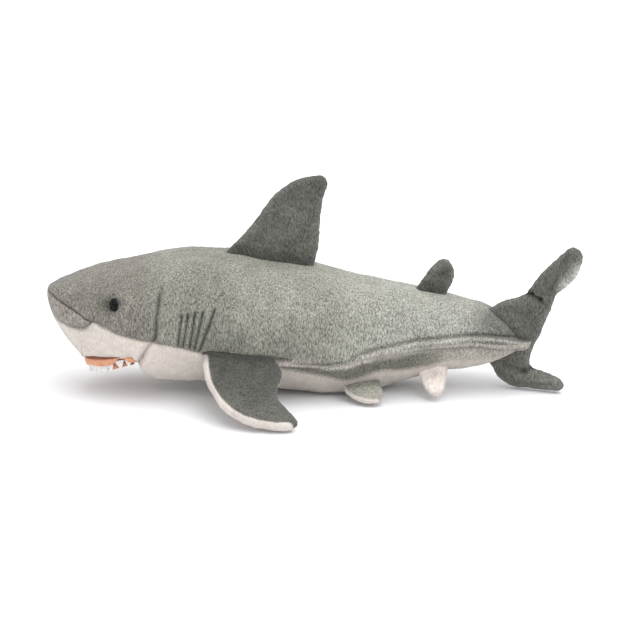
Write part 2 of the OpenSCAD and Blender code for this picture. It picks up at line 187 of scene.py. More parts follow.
def lumps(points: np.ndarray, size: float, seed: int) -> np.ndarray:
    """Smooth random lumps in space, the same on every run.

    Args:
        points: N by 3 positions in metres.
        size: spacing of the lumps in metres.
        seed: which set of lumps.

    Returns:
        Values from about -1 to 1.
    """
    cell = points / size + seed * 17.31
    base = np.floor(cell).astype(np.int64)
    part = cell - base
    part = part * part * (3 - 2 * part)
    total = np.zeros(len(points))
    for corner in np.ndindex(2, 2, 2):
        key = base + np.array(corner)
        code = key[:, 0] * 73856093 ^ key[:, 1] * 19349663 ^ key[:, 2] * 83492791 ^ seed * 2654435
        code = (code * 1103515245 + 12345) & 0x7FFFFFFF
        code = (code ^ (code >> 13)) * 1274126177 & 0x7FFFFFFF
        weight = np.prod(np.where(np.array(corner), part, 1 - part), axis=1)
        total += weight * (code / 0x3FFFFFFF - 1)
    return total


def segment_distance(points: np.ndarray, start: Sequence[float], end: Sequence[float]) -> np.ndarray:
    """Distance from flat points to a straight segment.

    Args:
        points: N by 2 positions.
        start: one end of the segment.
        end: the other end.

    Returns:
        N distances.
    """
    a, d = np.array(start, float), np.array(end, float) - np.array(start, float)
    t = np.clip((points - a) @ d / max(d @ d, 1e-12), 0, 1)
    return np.linalg.norm(points - a - t[:, None] * d, axis=1)


def mix(base: np.ndarray, other: np.ndarray, share: np.ndarray) -> np.ndarray:
    """Blends colours.

    Args:
        base: colours where share is 0.
        other: colours where share is 1.
        share: one number for each colour.

    Returns:
        N by 3 colours.
    """
    share = np.asarray(share)[:, None]
    return base * (1 - share) + other * share


# ------------------------------------------------------------------ finishes
@dataclass(frozen=True)
class PileFinish:
    """Short plush pile that reads its colour from the piece's tint attribute."""

    name: str
    clump: float = 1.25 * MM  # size of one tuft of pile
    depth: float = 0.9 * MM  # how deep the tufts part
    sheen: float = 0.2

    def material(self) -> bpy.types.Material:
        """Builds the material.

        Returns:
            The new material.
        """
        material = bpy.data.materials.new(self.name)
        material.use_nodes = True
        tree = material.node_tree
        shader = tree.nodes["Principled BSDF"]
        tint = tree.nodes.new("ShaderNodeAttribute")
        tint.attribute_name = "tint"
        coords = tree.nodes.new("ShaderNodeTexCoord")
        pile = tree.nodes.new("ShaderNodeGroup")
        pile.node_tree = pile_group()
        pile.inputs["Clump"].default_value = self.clump
        pile.inputs["Depth"].default_value = self.depth
        tree.links.new(coords.outputs["Object"], pile.inputs["Place"])
        tree.links.new(tint.outputs["Color"], pile.inputs["Colour"])
        tree.links.new(tint.outputs["Alpha"], pile.inputs["Contrast"])
        tree.links.new(pile.outputs["Colour"], shader.inputs["Base Color"])
        tree.links.new(pile.outputs["Normal"], shader.inputs["Normal"])
        shader.inputs["Roughness"].default_value = 0.92
        shader.inputs["Specular IOR Level"].default_value = 0.15
        shader.inputs["Sheen Weight"].default_value = self.sheen
        shader.inputs["Sheen Roughness"].default_value = 0.5
        return material


@dataclass(frozen=True)
class PlainFinish:
    """An even material, such as the polished plastic of an eye or sewing thread."""

    name: str
    colour: tuple[float, float, float]
    roughness: float
    shine: float = 0.3

    def material(self) -> bpy.types.Material:
        """Builds the material.

        Returns:
            The new material.
        """
        material = bpy.data.materials.new(self.name)
        material.use_nodes = True
        shader = material.node_tree.nodes["Principled BSDF"]
        shader.inputs["Base Color"].default_value = (*self.colour, 1)
        shader.inputs["Roughness"].default_value = self.roughness
        shader.inputs["Specular IOR Level"].default_value = self.shine
        return material


def pile_group() -> bpy.types.NodeTree:
    """The node group that turns a dyed colour into parted, clumped pile.

    Returns:
        The group, built once.
    """
    existing = bpy.data.node_groups.get("pile")
    if existing:
        return existing
    group = bpy.data.node_groups.new("pile", "ShaderNodeTree")
    for name, kind in (
        ("Place", "NodeSocketVector"),
        ("Colour", "NodeSocketColor"),
        ("Clump", "NodeSocketFloat"),
        ("Depth", "NodeSocketFloat"),
        ("Contrast", "NodeSocketFloat"),
    ):
        group.interface.new_socket(name, in_out="INPUT", socket_type=kind)
    group.interface.new_socket("Colour", in_out="OUTPUT", socket_type="NodeSocketColor")
    group.interface.new_socket("Normal", in_out="OUTPUT", socket_type="NodeSocketVector")
    nodes, links = group.nodes, group.links
    given, result = nodes.new("NodeGroupInput"), nodes.new("NodeGroupOutput")

    def node(kind: str, **values: object) -> bpy.types.Node:
        """Adds a node.

        Args:
            kind: its type.
            values: settings of the node.

        Returns:
            The new node.
        """
        made = nodes.new(kind)
        for key, value in values.items():
            setattr(made, key, value)
        return made

    def maths(operation: str, first: object, second: object) -> bpy.types.NodeSocket:
        """Adds a sum of two numbers or sockets.

        Args:
            operation: what to do with them.
            first: the first number or socket.
            second: the second one.

        Returns:
            The socket that holds the result.
        """
        made = node("ShaderNodeMath", operation=operation)
        for socket, value in zip(made.inputs, (first, second)):
            if isinstance(value, bpy.types.NodeSocket):
                links.new(value, socket)
            else:
                socket.default_value = value
        return made.outputs[0]

    frequency = maths("DIVIDE", 1.0, given.outputs["Clump"])
    lay = node("ShaderNodeMapping")  # the pile is brushed down and back, so its tufts are strokes
    lay.inputs["Rotation"].default_value = (0.0, 0.55, 0.0)
    lay.inputs["Scale"].default_value = (1.0, 0.8, 0.5)
    links.new(given.outputs["Place"], lay.inputs["Vector"])
    tufts = node("ShaderNodeTexNoise")
    tufts.inputs["Detail"].default_value = 2.0
    tufts.inputs["Roughness"].default_value = 0.65
    tufts.inputs["Distortion"].default_value = 0.5
    links.new(lay.outputs[0], tufts.inputs["Vector"])
    links.new(frequency, tufts.inputs["Scale"])
    brushed = node("ShaderNodeTexNoise")
    brushed.inputs["Detail"].default_value = 3.0
    links.new(given.outputs["Place"], brushed.inputs["Vector"])
    links.new(maths("MULTIPLY", frequency, 0.1), brushed.inputs["Scale"])
    parted = node("ShaderNodeMapRange")
    parted.inputs["From Min"].default_value = 0.36
    parted.inputs["From Max"].default_value = 0.64
    links.new(tufts.outputs[0], parted.inputs["Value"])
    strokes = node("ShaderNodeTexNoise")  # single tips, finer than the tufts
    strokes.inputs["Detail"].default_value = 1.0
    swept = node("ShaderNodeMapping")
    swept.inputs["Rotation"].default_value = (0.0, -0.75, 0.3)
    swept.inputs["Scale"].default_value = (1.0, 0.9, 0.3)
    links.new(given.outputs["Place"], swept.inputs["Vector"])
    links.new(swept.outputs[0], strokes.inputs["Vector"])
    links.new(maths("MULTIPLY", frequency, 1.25), strokes.inputs["Scale"])
    tips = node("ShaderNodeMapRange")
    tips.inputs["From Min"].default_value = 0.34
    tips.inputs["From Max"].default_value = 0.66
    links.new(strokes.outputs[0], tips.inputs["Value"])
    patch = node("ShaderNodeMapRange")
    patch.inputs["From Min"].default_value = 0.3
    patch.inputs["From Max"].default_value = 0.7
    patch.inputs["To Min"].default_value = -0.10
    patch.inputs["To Max"].default_value = 0.10
    links.new(brushed.outputs[0], patch.inputs["Value"])
    both = maths("ADD", maths("MULTIPLY", parted.outputs[0], 0.45), maths("MULTIPLY", tips.outputs[0], 0.55))
    lift = maths("SUBTRACT", both, 0.5)
    shade = maths("MULTIPLY", lift, maths("MULTIPLY", given.outputs["Contrast"], 1.35))
    value = maths("ADD", maths("ADD", shade, patch.outputs[0]), 1.0)
    dyed = node("ShaderNodeVectorMath", operation="SCALE")
    links.new(given.outputs["Colour"], dyed.inputs[0])
    links.new(value, dyed.inputs["Scale"])
    bump = node("ShaderNodeBump")
    bump.inputs["Strength"].default_value = 0.7
    links.new(given.outputs["Depth"], bump.inputs["Distance"])
    links.new(both, bump.inputs["Height"])
    links.new(dyed.outputs[0], result.inputs["Colour"])
    links.new(bump.outputs[0], result.inputs["Normal"])
    return group


# ------------------------------------------------------------------ mesh building
def build_piece(
    name: str,
    points: np.ndarray,
    faces: Iterable[Sequence[int]],
    tint: np.ndarray,
    material: bpy.types.Material,
) -> bpy.types.Object:
    """Makes a smooth, tinted mesh object with its doubles merged.

    Args:
        name: the piece's name.
        points: N by 3 positions in metres.
        faces: corner indices of each face, outwards.
        tint: N by 4, linear colours and how strongly the tufts show.
        material: the finish.

    Returns:
        The new object, linked to the scene.
    """
    faces = np.array([list(face) for face in faces], dtype=np.int64)
    used, compact = np.unique(faces, return_inverse=True)
    compact = compact.reshape(faces.shape)
    mesh = bpy.data.meshes.new(name)
    mesh.from_pydata(points[used].tolist(), [], compact.tolist())
    layer = mesh.attributes.new("tint", "FLOAT_COLOR", "POINT")
    colours = np.clip(tint[used], 0, 1.5).astype(np.float32)
    layer.data.foreach_set("color", colours.ravel())
    shell = bmesh.new()
    shell.from_mesh(mesh)
    bmesh.ops.remove_doubles(shell, verts=shell.verts, dist=0.02 * MM)
    bmesh.ops.dissolve_degenerate(shell, edges=shell.edges, dist=0.01 * MM)
    shell.to_mesh(mesh)
    shell.free()
    mesh.shade_smooth()
    mesh.materials.append(material)
    piece = bpy.data.objects.new(name, mesh)
    bpy.context.scene.collection.objects.link(piece)
    return piece


# ------------------------------------------------------------------ the stuffed body
@dataclass(frozen=True)
class Gill:
    """One sewn gill tuck, as its two ends seen from the side (x, z) in metres."""

    top: tuple[float, float]
    foot: tuple[float, float]


@dataclass(frozen=True)
class BodyShape:
    """Sections and seams of the stuffed body. Places are millimetres behind the snout's tip."""

    top: tuple = ((0, 89), (1.5, 95.5), (5, 98.6), (11, 101.6), (19, 104.4), (28, 106.8), (34, 108.6),
                  (48, 113.2), (64, 116.8), (80, 119.6), (92, 121.8), (113, 126), (142, 128.8),
                  (170, 126.6), (200, 121.3), (228, 117), (252, 111.4), (276, 105.6), (305, 99.8),
                  (326, 95.9), (344, 91.7), (365, 86.3), (380, 81.6), (394, 76), (406, 68.5),
                  (416, 61), (425, 54.5), (431, 50.5), (437, 47))
    bottom: tuple = ((0, 87), (1.5, 80), (5, 68.5), (11, 56.5), (19, 45.5), (28, 36), (32, 31.7),
                     (48, 31), (64, 30.5), (74, 28.5), (80, 25.5), (84, 21.5), (92, 14.5),
                     (100, 11), (113, 9.5), (142, 8.5), (170, 6), (200, 3), (228, -1.2),
                     (252, -2.5), (276, -2), (292, -0.5), (305, 3), (326, 9.5), (344, 14.6),
                     (365, 18.2), (380, 20.6), (394, 23.5), (406, 28), (416, 33), (425, 38.5),
                     (431, 41), (437, 44.5))
    half: tuple = ((0, 0), (1.5, 9.8), (5, 17.2), (11, 25), (19, 31.8), (28, 37.3), (34, 40.6),
                   (48, 45.6), (64, 49.6), (80, 53.2), (92, 56), (113, 59), (142, 61), (170, 60.7),
                   (200, 58.6), (228, 56.8), (252, 54), (276, 50), (305, 44.8), (326, 41),
                   (344, 38), (365, 34.5), (380, 32), (398, 29.5), (406, 28), (416, 25.5),
                   (425, 22.5), (431, 18.5), (435, 13), (437, 2))
    fullness: tuple = ((0, 2.0), (5, 2.1), (19, 2.4), (34, 2.9), (64, 3.0), (80, 2.6), (92, 2.3),
                       (142, 2.1), (434, 2.1))
    side_seam: tuple = ((0, 87), (2, 79.5), (5, 71.5), (9, 69.6), (15, 69.4), (24, 67.2), (34, 67.6),
                        (40, 72), (43.5, 74.8), (46, 74.6), (50, 72.8), (57, 69.8), (70, 64.8),
                        (80, 62.6), (93, 60.8), (106, 58.8), (120, 55.7), (134, 51.4), (150, 47.2),
                        (175, 43.6), (200, 43.6), (218, 44.5), (230, 43.2), (245, 39.3),
                        (255, 37.2), (266, 37.6), (276, 40.4), (284, 42.8), (296, 44.2), (307, 45.9),
                        (320, 48), (348, 50.5), (369, 51.4), (387, 50.8), (406, 48.2), (434, 46.5))
    snout_seam: tuple = ((0, 94), (4.4, 92.2), (15.7, 87.2), (29.8, 81.1), (42.3, 75.2), (50, 85),
                         (70, 96), (434, 47))
    fold: tuple = ((200, 44.5), (249, 38.8), (267, 41.2), (280, 46.1), (290, 49.2), (302, 51.6),
                   (320, 55), (333, 57), (351, 57.9), (369, 58.7), (387, 58.2), (405, 55.7),
                   (420, 52.5), (434, 49))
    under_fold: tuple = ((200, 38), (330, 45), (351, 47), (369, 46.8), (387, 45.6), (410, 41.2),
                         (434, 40))
    fade: tuple = ((200, 36), (218, 32.5), (236, 28.2), (253, 23.5), (267, 19.6), (280, 22),
                   (302, 28), (320, 27.4), (343, 29.5), (361, 33.8), (379, 33), (434, 31))
    throat_edge: tuple = ((80, 42.2), (80.8, 35), (82.5, 28), (86, 22), (90, 17.5), (95, 8),
                          (99, 0))
    # soft dents: place seen from the side, radius and depth
    dents: tuple = (((-0.064, 0.106), 5 * MM, 2.2 * MM), ((-0.070, 0.098), 9 * MM, 1.2 * MM),
                    ((-0.076, 0.062), 4 * MM, 1.4 * MM), ((-0.078, 0.052), 4 * MM, 1.4 * MM),
                    ((0.020, 0.080), 12 * MM, 0.9 * MM), ((0.075, 0.078), 10 * MM, 0.9 * MM))
    lip_front: float = 32.0
    lip_rise: float = 12.0  # degrees
    rows: tuple = (16, 18, 14, 34)  # rows from belly to lip, seam, snout seam and spine
    spacing: float = 2.1 * MM
    fine_rows: tuple = (22, 26, 20, 56)
    fine_spacing: float = 1.4 * MM
    gills: tuple = (
        Gill((-0.1165, 0.0855), (-0.1202, 0.0580)),
        Gill((-0.1109, 0.0865), (-0.1158, 0.0570)),
        Gill((-0.1048, 0.0879), (-0.1102, 0.0549)),
        Gill((-0.0977, 0.0890), (-0.1058, 0.0543)),
        Gill((-0.0876, 0.0907), (-0.1012, 0.0529)),
    )


class StuffedBody:
    """The head, trunk and tail: one stuffed form covered by panels that meet at seams."""

    def __init__(self, shape: BodyShape) -> None:
        """Prepares the curves.

        Args:
            shape: the sections and seams.
        """
        fine = replace(shape, rows=shape.fine_rows, spacing=shape.fine_spacing)
        self.shape = fine
        self.curves = {
            name: self._warped(getattr(shape, name))
            for name in ("top", "bottom", "half", "fullness", "side_seam", "snout_seam", "fold",
                         "under_fold", "fade")
        }
        self.throat = Curve(shape.throat_edge)
        self.x = self._stations()
        self._lay_out()

    @staticmethod
    def _warped(knots: Sequence[tuple[float, float]]) -> Curve:
        """A curve whose blunt front end is even in the square root of the place."""
        return Curve([(math.sqrt(place), value) for place, value in knots])

    def read(self, name: str, x: np.ndarray) -> np.ndarray:
        """Reads one section curve.

        Args:
            name: which curve.
            x: places along the body, in metres.

        Returns:
            Its values, in millimetres or degrees.
        """
        return self.curves[name](np.sqrt(np.maximum((x - NOSE_X) / MM, 0)))

    def _stations(self) -> np.ndarray:
        """Places of the rings, close together where the outline turns sharply.

        Returns:
            Rising places in metres.
        """
        marks = np.array([NOSE_X, LIP_X, NECK_X, TAIL_END_X])
        places = [NOSE_X]
        while places[-1] < TAIL_END_X - 0.3 * MM:
            near = np.min(np.abs(marks - places[-1]))
            places.append(places[-1] + min(self.shape.spacing, 0.25 * MM + 0.22 * near))
        places[-1] = TAIL_END_X
        places = np.array(places)
        for mark in marks[1:3]:
            places[np.argmin(np.abs(places - mark))] = mark
        return places

    def lip_height(self, x: np.ndarray) -> np.ndarray:
        """Height of the upper lip's plane at x, in metres."""
        dip = 2.6 * MM * bell(x - LIP_X - 36 * MM, 4.5 * MM)
        return self.shape.lip_front * MM + math.tan(math.radians(self.shape.lip_rise)) * (x - LIP_X) - dip

    def section(self, x: np.ndarray, angle: np.ndarray) -> np.ndarray:
        """Points of the plain body surface.

        Args:
            x: places along the body, in metres.
            angle: angle above level in degrees, from -90 to 90, on the right side.

        Returns:
            N by 3 positions on the right side.
        """
        top, low = self.read("top", x), self.read("bottom", x)
        a = np.radians(angle)
        power = np.where(a > 0, 2.1, self.read("fullness", x))
        y = self.read("half", x) * np.abs(np.cos(a)) ** (2 / power)
        z = (top + low) / 2 + (top - low) / 2 * np.sign(a) * np.abs(np.sin(a)) ** (2 / power)
        return np.stack([x, y * MM, z * MM], axis=-1)

    def angle_at(self, x: np.ndarray, z: np.ndarray) -> np.ndarray:
        """Angle of the skin at a height.

        Args:
            x: places along the body, in metres.
            z: heights, in metres.

        Returns:
            Angles above level, in degrees.
        """
        top, low = self.read("top", x) * MM, self.read("bottom", x) * MM
        share = np.clip((z - (top + low) / 2) / np.maximum((top - low) / 2, 0.1 * MM), -1, 1)
        power = np.where(share > 0, 2.1, self.read("fullness", x))
        return np.degrees(np.sign(share) * np.arcsin(np.abs(share) ** (power / 2)))

    def _key_angles(self, x: np.ndarray) -> np.ndarray:
        """Angles of the belly line, lip, side seam, snout seam and spine at each place.

        Args:
            x: places along the body, in metres.

        Returns:
            Five rows of angles in degrees.
        """
        seam = self.angle_at(x, self.read("side_seam", x) * MM)
        upper = self.angle_at(x, self.read("snout_seam", x) * MM)
        lip = self.angle_at(x, self.lip_height(x))
        lip = np.where(x < LIP_X, -90, lip)
        rest = smooth(NECK_X - 4 * MM, NECK_X + 14 * MM, x)
        lip = np.where(x > NECK_X - 4 * MM, lip * (1 - rest) - 50 * rest, lip)
        lip = np.minimum(lip, seam - 1)
        seam = np.maximum(seam, -90)
        upper = np.maximum(np.where(x > NOSE_X + 50 * MM, seam + 34, upper), seam + 1.6)
        return np.stack([np.full_like(x, -90), np.maximum(lip, -90), seam, upper, np.full_like(x, 90)])

    def _lay_out(self) -> None:
        """Lays the grid of points: rings along the body, rows round it, seams on fixed rows."""
        keys = self._key_angles(self.x)
        spans = []
        for k, count in enumerate(self.shape.rows):
            share = np.arange(count)[:, None] / count
            spans.append(keys[k] * (1 - share) + keys[k + 1] * share)
        right = np.concatenate([*spans, keys[4:5]])  # rows from belly to spine
        self.marks = np.cumsum((0, *self.shape.rows))
        self.side = np.concatenate([np.arange(len(right)), np.arange(len(right) - 2, 0, -1)])
        x = np.broadcast_to(self.x, right.shape)
        half = self.section(x.ravel(), right.ravel()).reshape(*right.shape, 3)
        half = self._trim(half)
        left = half[-2:0:-1].copy()
        left[..., 1] *= -1
        self.points = np.concatenate([half, left])  # rows x stations x 3
        self.angle = np.concatenate([right, right[-2:0:-1]])
        self.count = len(self.points)

    def _trim(self, half: np.ndarray) -> np.ndarray:
        """Flattens the roof of the mouth on the lip plane and the belly on the ground.

        Args:
            half: points of the right side.

        Returns:
            The same points, none below its floor.
        """
        x, z = half[..., 0], half[..., 2]
        roof = self.lip_height(x)
        throat = self.throat((x - NOSE_X) / MM) * MM
        mouth = (x >= LIP_X - 1e-6) & (x <= NECK_X + 1e-6)
        floor = np.where(mouth, roof, 0.0)
        floor = np.where((x > NECK_X) & (x < NOSE_X + 99 * MM), throat, floor)
        half[..., 2] = np.maximum(z, floor)
        return half

    def normals(self, points: np.ndarray) -> np.ndarray:
        """Outward directions of the grid.

        Args:
            points: rows by stations by 3 positions.

        Returns:
            A unit vector for each point.
        """
        along = np.gradient(points, axis=1)
        around = np.roll(points, -1, axis=0) - np.roll(points, 1, axis=0)
        normal = np.cross(around, along)
        length = np.linalg.norm(normal, axis=-1, keepdims=True)
        return normal / np.maximum(length, 1e-12)

    def seam_distance(self, mark: int) -> np.ndarray:
        """Signed distance over the skin from a seam row, positive above it, on both sides.

        Args:
            mark: which of the seam rows.

        Returns:
            A distance in metres for each point of the grid.
        """
        step = np.linalg.norm(np.diff(self.points, axis=0, append=self.points[:1]), axis=-1)
        run = np.concatenate([np.zeros((1, step.shape[1])), np.cumsum(step, axis=0)[:-1]])
        row = self.marks[mark]
        right = run - run[row]
        left = run[(self.count - row) % self.count] - run
        upper = self.marks[-1]
        return np.where(np.arange(self.count)[:, None] <= upper, right, left)

    def sculpt(self) -> None:
        """Pushes in seams, tucks, creases and dimples, and swells the stuffing between them."""
        pts = self.points
        self.plain = pts
        flat = pts.reshape(-1, 3)
        x, y, z = pts[..., 0], pts[..., 1], pts[..., 2]
        push = np.zeros(x.shape)
        self.seam = self.seam_distance(2)
        snout = self.seam_distance(3)
        lip = self.seam_distance(1)
        spine = np.abs(y)
        # side ridge: a rolled edge of pile between two folds
        ridge = smooth(-0.048, -0.030, x) * smooth(TAIL_END_X + 4 * MM, TAIL_END_X - 8 * MM, x)
        fold_z, under_z = self.read("fold", x) * MM, self.read("under_fold", x) * MM
        middle = (fold_z + under_z) / 2
        tall = np.maximum(fold_z - under_z, 6 * MM) / 2
        push += ridge * 3.4 * MM * np.exp(-(((z - middle) / tall) ** 4)) * (np.abs(y) > 6 * MM)
        push -= ridge * 2.2 * MM * bell(z - fold_z - 0.6 * MM, 1.6 * MM)
        twin = smooth(0.055, 0.085, x) * ridge
        push -= twin * 1.8 * MM * bell(z - (fold_z + 2 * middle) / 3 + 1.2 * MM, 1.5 * MM)
        push -= smooth(0.08, 0.11, x) * ridge * 1.5 * MM * bell(z - under_z, 1.5 * MM)
        front = 1 - smooth(-0.06, -0.02, x)
        push -= front * 1.6 * MM * bell(self.seam, 1.8 * MM)
        # snout seam, spine seam and lips
        on_snout = smooth(NOSE_X + 50 * MM, NOSE_X + 40 * MM, x)
        push -= on_snout * 1.5 * MM * bell(snout, 1.5 * MM)
        push -= 0.7 * MM * bell(spine, 2 * MM) * (z > 0.06)
        mouth = (x > LIP_X - 4 * MM) & (x < NECK_X)
        push -= mouth * 2.0 * MM * bell(np.minimum(lip, 12 * MM), 3 * MM) * (lip > -1e-9)
        # neck: the head panels meet the body panels in a sewn fold
        neck = self.neck_x(z)
        side = np.abs(y) > 0.02
        fold = smooth(0.112, 0.098, z) * smooth(0.020, 0.035, z)
        push -= fold * side * 4.4 * MM * bell(x - neck, 2.2 * MM)
        push += fold * side * 2.0 * MM * bell(x - neck - 7 * MM, 5 * MM)
        second = Curve([(0.0867, -0.1285), (0.0982, -0.1259), (0.1075, -0.1243)])(z)
        tuck = side * smooth(0.112, 0.104, z) * smooth(0.078, 0.090, z)
        push -= tuck * 1.8 * MM * bell(x - second, 2.6 * MM)
        # soft dents where the filling gives
        for at, radius, depth in self.shape.dents:
            gap = np.hypot(x - at[0], z - at[1])
            push -= side * depth * bell(gap, radius)
        # gills
        for gill in self.shape.gills:
            gap = segment_distance(np.stack([x, z], -1).reshape(-1, 2), gill.top, gill.foot)
            push -= side * 3.0 * MM * bell(gap.reshape(x.shape), 1.35 * MM)
        span = smooth(-0.128, -0.121, x) * smooth(-0.090, -0.098, x)
        span = span * smooth(0.050, 0.057, z) * smooth(0.094, 0.087, z)
        push += side * 1.2 * MM * span
        # eyes sit in dimples under a slight brow
        for sign in (-1, 1):
            centre = np.array(EYE_AT) * (1, sign, 1)
            gap = np.linalg.norm(pts - centre, axis=-1)
            push -= 5.2 * MM * bell(gap, 8 * MM)
            brow = np.linalg.norm(pts - centre - np.array([-0.002, 0, 0.013]), axis=-1)
            push += 1.5 * MM * bell(brow, 8 * MM)
        # stuffing
        for size, depth, seed in ((52 * MM, 1.8 * MM, 3), (21 * MM, 1.2 * MM, 5), (9 * MM, 0.45 * MM, 8)):
            push += depth * lumps(flat, size, seed).reshape(x.shape) * (z > 3 * MM)
        push += 0.28 * MM * lumps(flat, 2.6 * MM, 11).reshape(x.shape)
        push = push * smooth(0, 6 * MM, x - NOSE_X)
        self.points = pts + self.normals(pts) * push[..., None]
        self.points[..., 2] = np.maximum(self.points[..., 2], 0.2 * MM)

    @staticmethod
    def neck_x(z: np.ndarray) -> np.ndarray:
        """Where the neck fold lies, seen from the side, at each height."""
        knots = Curve([(0.010, -0.158), (0.030, -0.1580), (0.045, -0.1525), (0.0585, -0.1450),
                       (0.064, -0.1402), (0.081, -0.1388), (0.091, -0.1375), (0.102, -0.1358),
                       (0.112, -0.1330), (0.130, -0.1290)])
        return knots(z)

    def paint(self) -> np.ndarray:
        """Dye and airbrush colours of the whole skin, with painted shade in the grooves, the hollows, under
        the belly, under the ridge's rolls and round the eyes, and painted highlights on the rolls, the lumps
        and below the eyes.

        Returns:
            Colours for every grid point.
        """
        shape = self.points.shape[:2]
        x = self.points[..., 0].ravel()
        z = self.points[..., 2].ravel()
        flat = self.points.reshape(-1, 3)
        seam = self.seam.ravel()
        snout = self.seam_distance(3).ravel()
        blotch = lumps(flat, 30 * MM, 21)
        grey = mix(Tone.HEAD.linear[None], Tone.BACK.linear[None], smooth(-0.16, -0.12, x))
        # painted shade: the lower flank behind the head darker
        low = smooth(0.085, 0.055, z) * smooth(-0.12, -0.08, x) * smooth(0.05, -0.02, x)
        grey = mix(grey, Tone.SHADED_FLANK.linear[None], 0.9 * low)
        grey = mix(grey, Tone.TAIL.linear[None], smooth(0.0, 0.09, x))
        under = smooth(NOSE_X + 46 * MM, NOSE_X + 41 * MM, x) * smooth(1 * MM, -1 * MM, snout)
        grey = mix(grey, Tone.SNOUT.linear[None], under)
        grey *= (1 - 0.17 * smooth(-0.14, -0.11, x) * smooth(-0.04, -0.09, x))[:, None]
        # painted shade on the sides of the tail stalk in front of the tail fin
        stalk_shade = smooth(0.122, 0.160, x) * smooth(26 * MM, 8 * MM, np.abs(z - 0.060))
        grey = mix(grey, 0.40 * grey, 0.88 * stalk_shade)
        plain = self.plain.reshape(-1, 3)
        # painted shade and light that follow the stuffing's lumps, darker in the hollows and lighter on the
        # bulges; the blotches are uneven dye
        lump_shading = 0.07 * lumps(plain, 21 * MM, 5) + 0.05 * lumps(plain, 9 * MM, 8)
        grey *= (1 + 0.05 * blotch + lump_shading)[:, None]
        for sign in (-1, 1):  # the pile stands in its own shadow round the eye
            pit = flat - np.array(EYE_AT) * (1, sign, 1)
            dark = np.exp(-np.sum((pit + np.array([0.005, 0, 0])) ** 2, axis=1) / (8 * MM) ** 2)
            grey = mix(grey, 0.34 * grey, 0.95 * dark)
            # painted highlight on the pile below and behind the eye
            light = np.exp(-np.sum((pit + np.array([-0.005, 0, 0.0125])) ** 2, axis=1) / (5 * MM) ** 2)
            grey = mix(grey, 1.5 * grey, 0.8 * light)
        cream = np.broadcast_to(Tone.CREAM.linear, grey.shape)
        # painted shade: the cream darker low under the belly, where little light reaches
        belly_shade = 0.28 * smooth(0.055, 0.012, z) * smooth(-0.13, -0.06, x)
        cream = cream * (1 - belly_shade)[:, None] * np.array([1.0, 1.0, 0.975])
        rear = smooth(-0.045, -0.025, x)
        # the airbrushed grey fading into the cream below the side seam, deepened by painted shade under the
        # ridge
        fade = self.read("fade", x) * MM
        band = smooth(fade - 3 * MM, fade + 4 * MM, z) * smooth(1.5 * MM, -1 * MM, seam)
        shade = Tone.SHADE.linear[None] * (0.78 + 0.22 * smooth(0.08, 0.13, x))[:, None]
        olive = mix(cream, shade, rear * band * (1.0 - 0.45 * smooth(0.09, 0.13, x)))
        # painted highlight: the crest of the roll under the seam kept light, dimmer towards the tail
        crest_highlight = bell(seam + 3.2 * MM, 2.6 * MM) * rear
        cream = mix(olive, (0.9 - 0.5 * smooth(0.0, 0.13, x))[:, None] * Tone.CREAM.linear, 0.8 * crest_highlight)
        upper_roll = z - self.read("fold", x) * MM + 3.0 * MM
        # painted shade under the upper roll of the ridge
        roll_shade = 0.35 * smooth(0.03, 0.06, x) * bell(upper_roll + 3 * MM, 3 * MM)
        grey = mix(grey, Tone.SHADE.linear[None], roll_shade)
        # painted highlight along the upper roll of the ridge
        tips = smooth(0.0, 0.05, x) * bell(upper_roll, 1.8 * MM)
        grey = mix(grey, 0.85 * Tone.CREAM.linear[None], 0.5 * tips)
        colour = mix(cream, grey, smooth(-0.7 * MM, 0.7 * MM, seam))
        # painted shade in the sewn grooves: the side seam, the ridge's folds, the snout seam, the neck fold
        # and the gill tucks
        groove_shade = 0.75 * bell(seam, 1.3 * MM) * (x < -0.02)
        gap = z - self.read("fold", x) * MM
        groove_shade = np.maximum(groove_shade, 0.85 * rear * bell(gap, 1.2 * MM))
        under = smooth(0.09, 0.11, x) * smooth(0.178, 0.165, x)
        gap = z - self.read("under_fold", x) * MM - 1.5 * MM
        groove_shade = np.maximum(groove_shade, 0.65 * under * bell(gap, 1.2 * MM))
        groove_shade = np.maximum(groove_shade, bell(snout, 1.1 * MM) * (x < NOSE_X + 43 * MM))
        fold = smooth(0.112, 0.098, z) * smooth(0.020, 0.035, z) * bell(x - self.neck_x(z), 1.3 * MM)
        groove_shade = np.maximum(groove_shade, (0.25 + 0.55 * smooth(-1 * MM, 1 * MM, seam)) * fold)
        side = np.abs(flat[:, 1]) > 0.02
        for gill in self.shape.gills:
            gap = segment_distance(np.stack([x, z], -1), gill.top, gill.foot)
            groove_shade = np.maximum(groove_shade, side * bell(gap, 1.2 * MM))
        colour = colour * (1 - 0.66 * groove_shade)[:, None]
        tufted = smooth(-0.7 * MM, 0.7 * MM, seam)
        tufted = np.maximum(tufted, 0.8 * smooth(-0.04, -0.02, x) * band)
        show = 0.2 + 0.75 * tufted
        return np.concatenate([colour, show[:, None]], axis=1).reshape(*shape, 4)

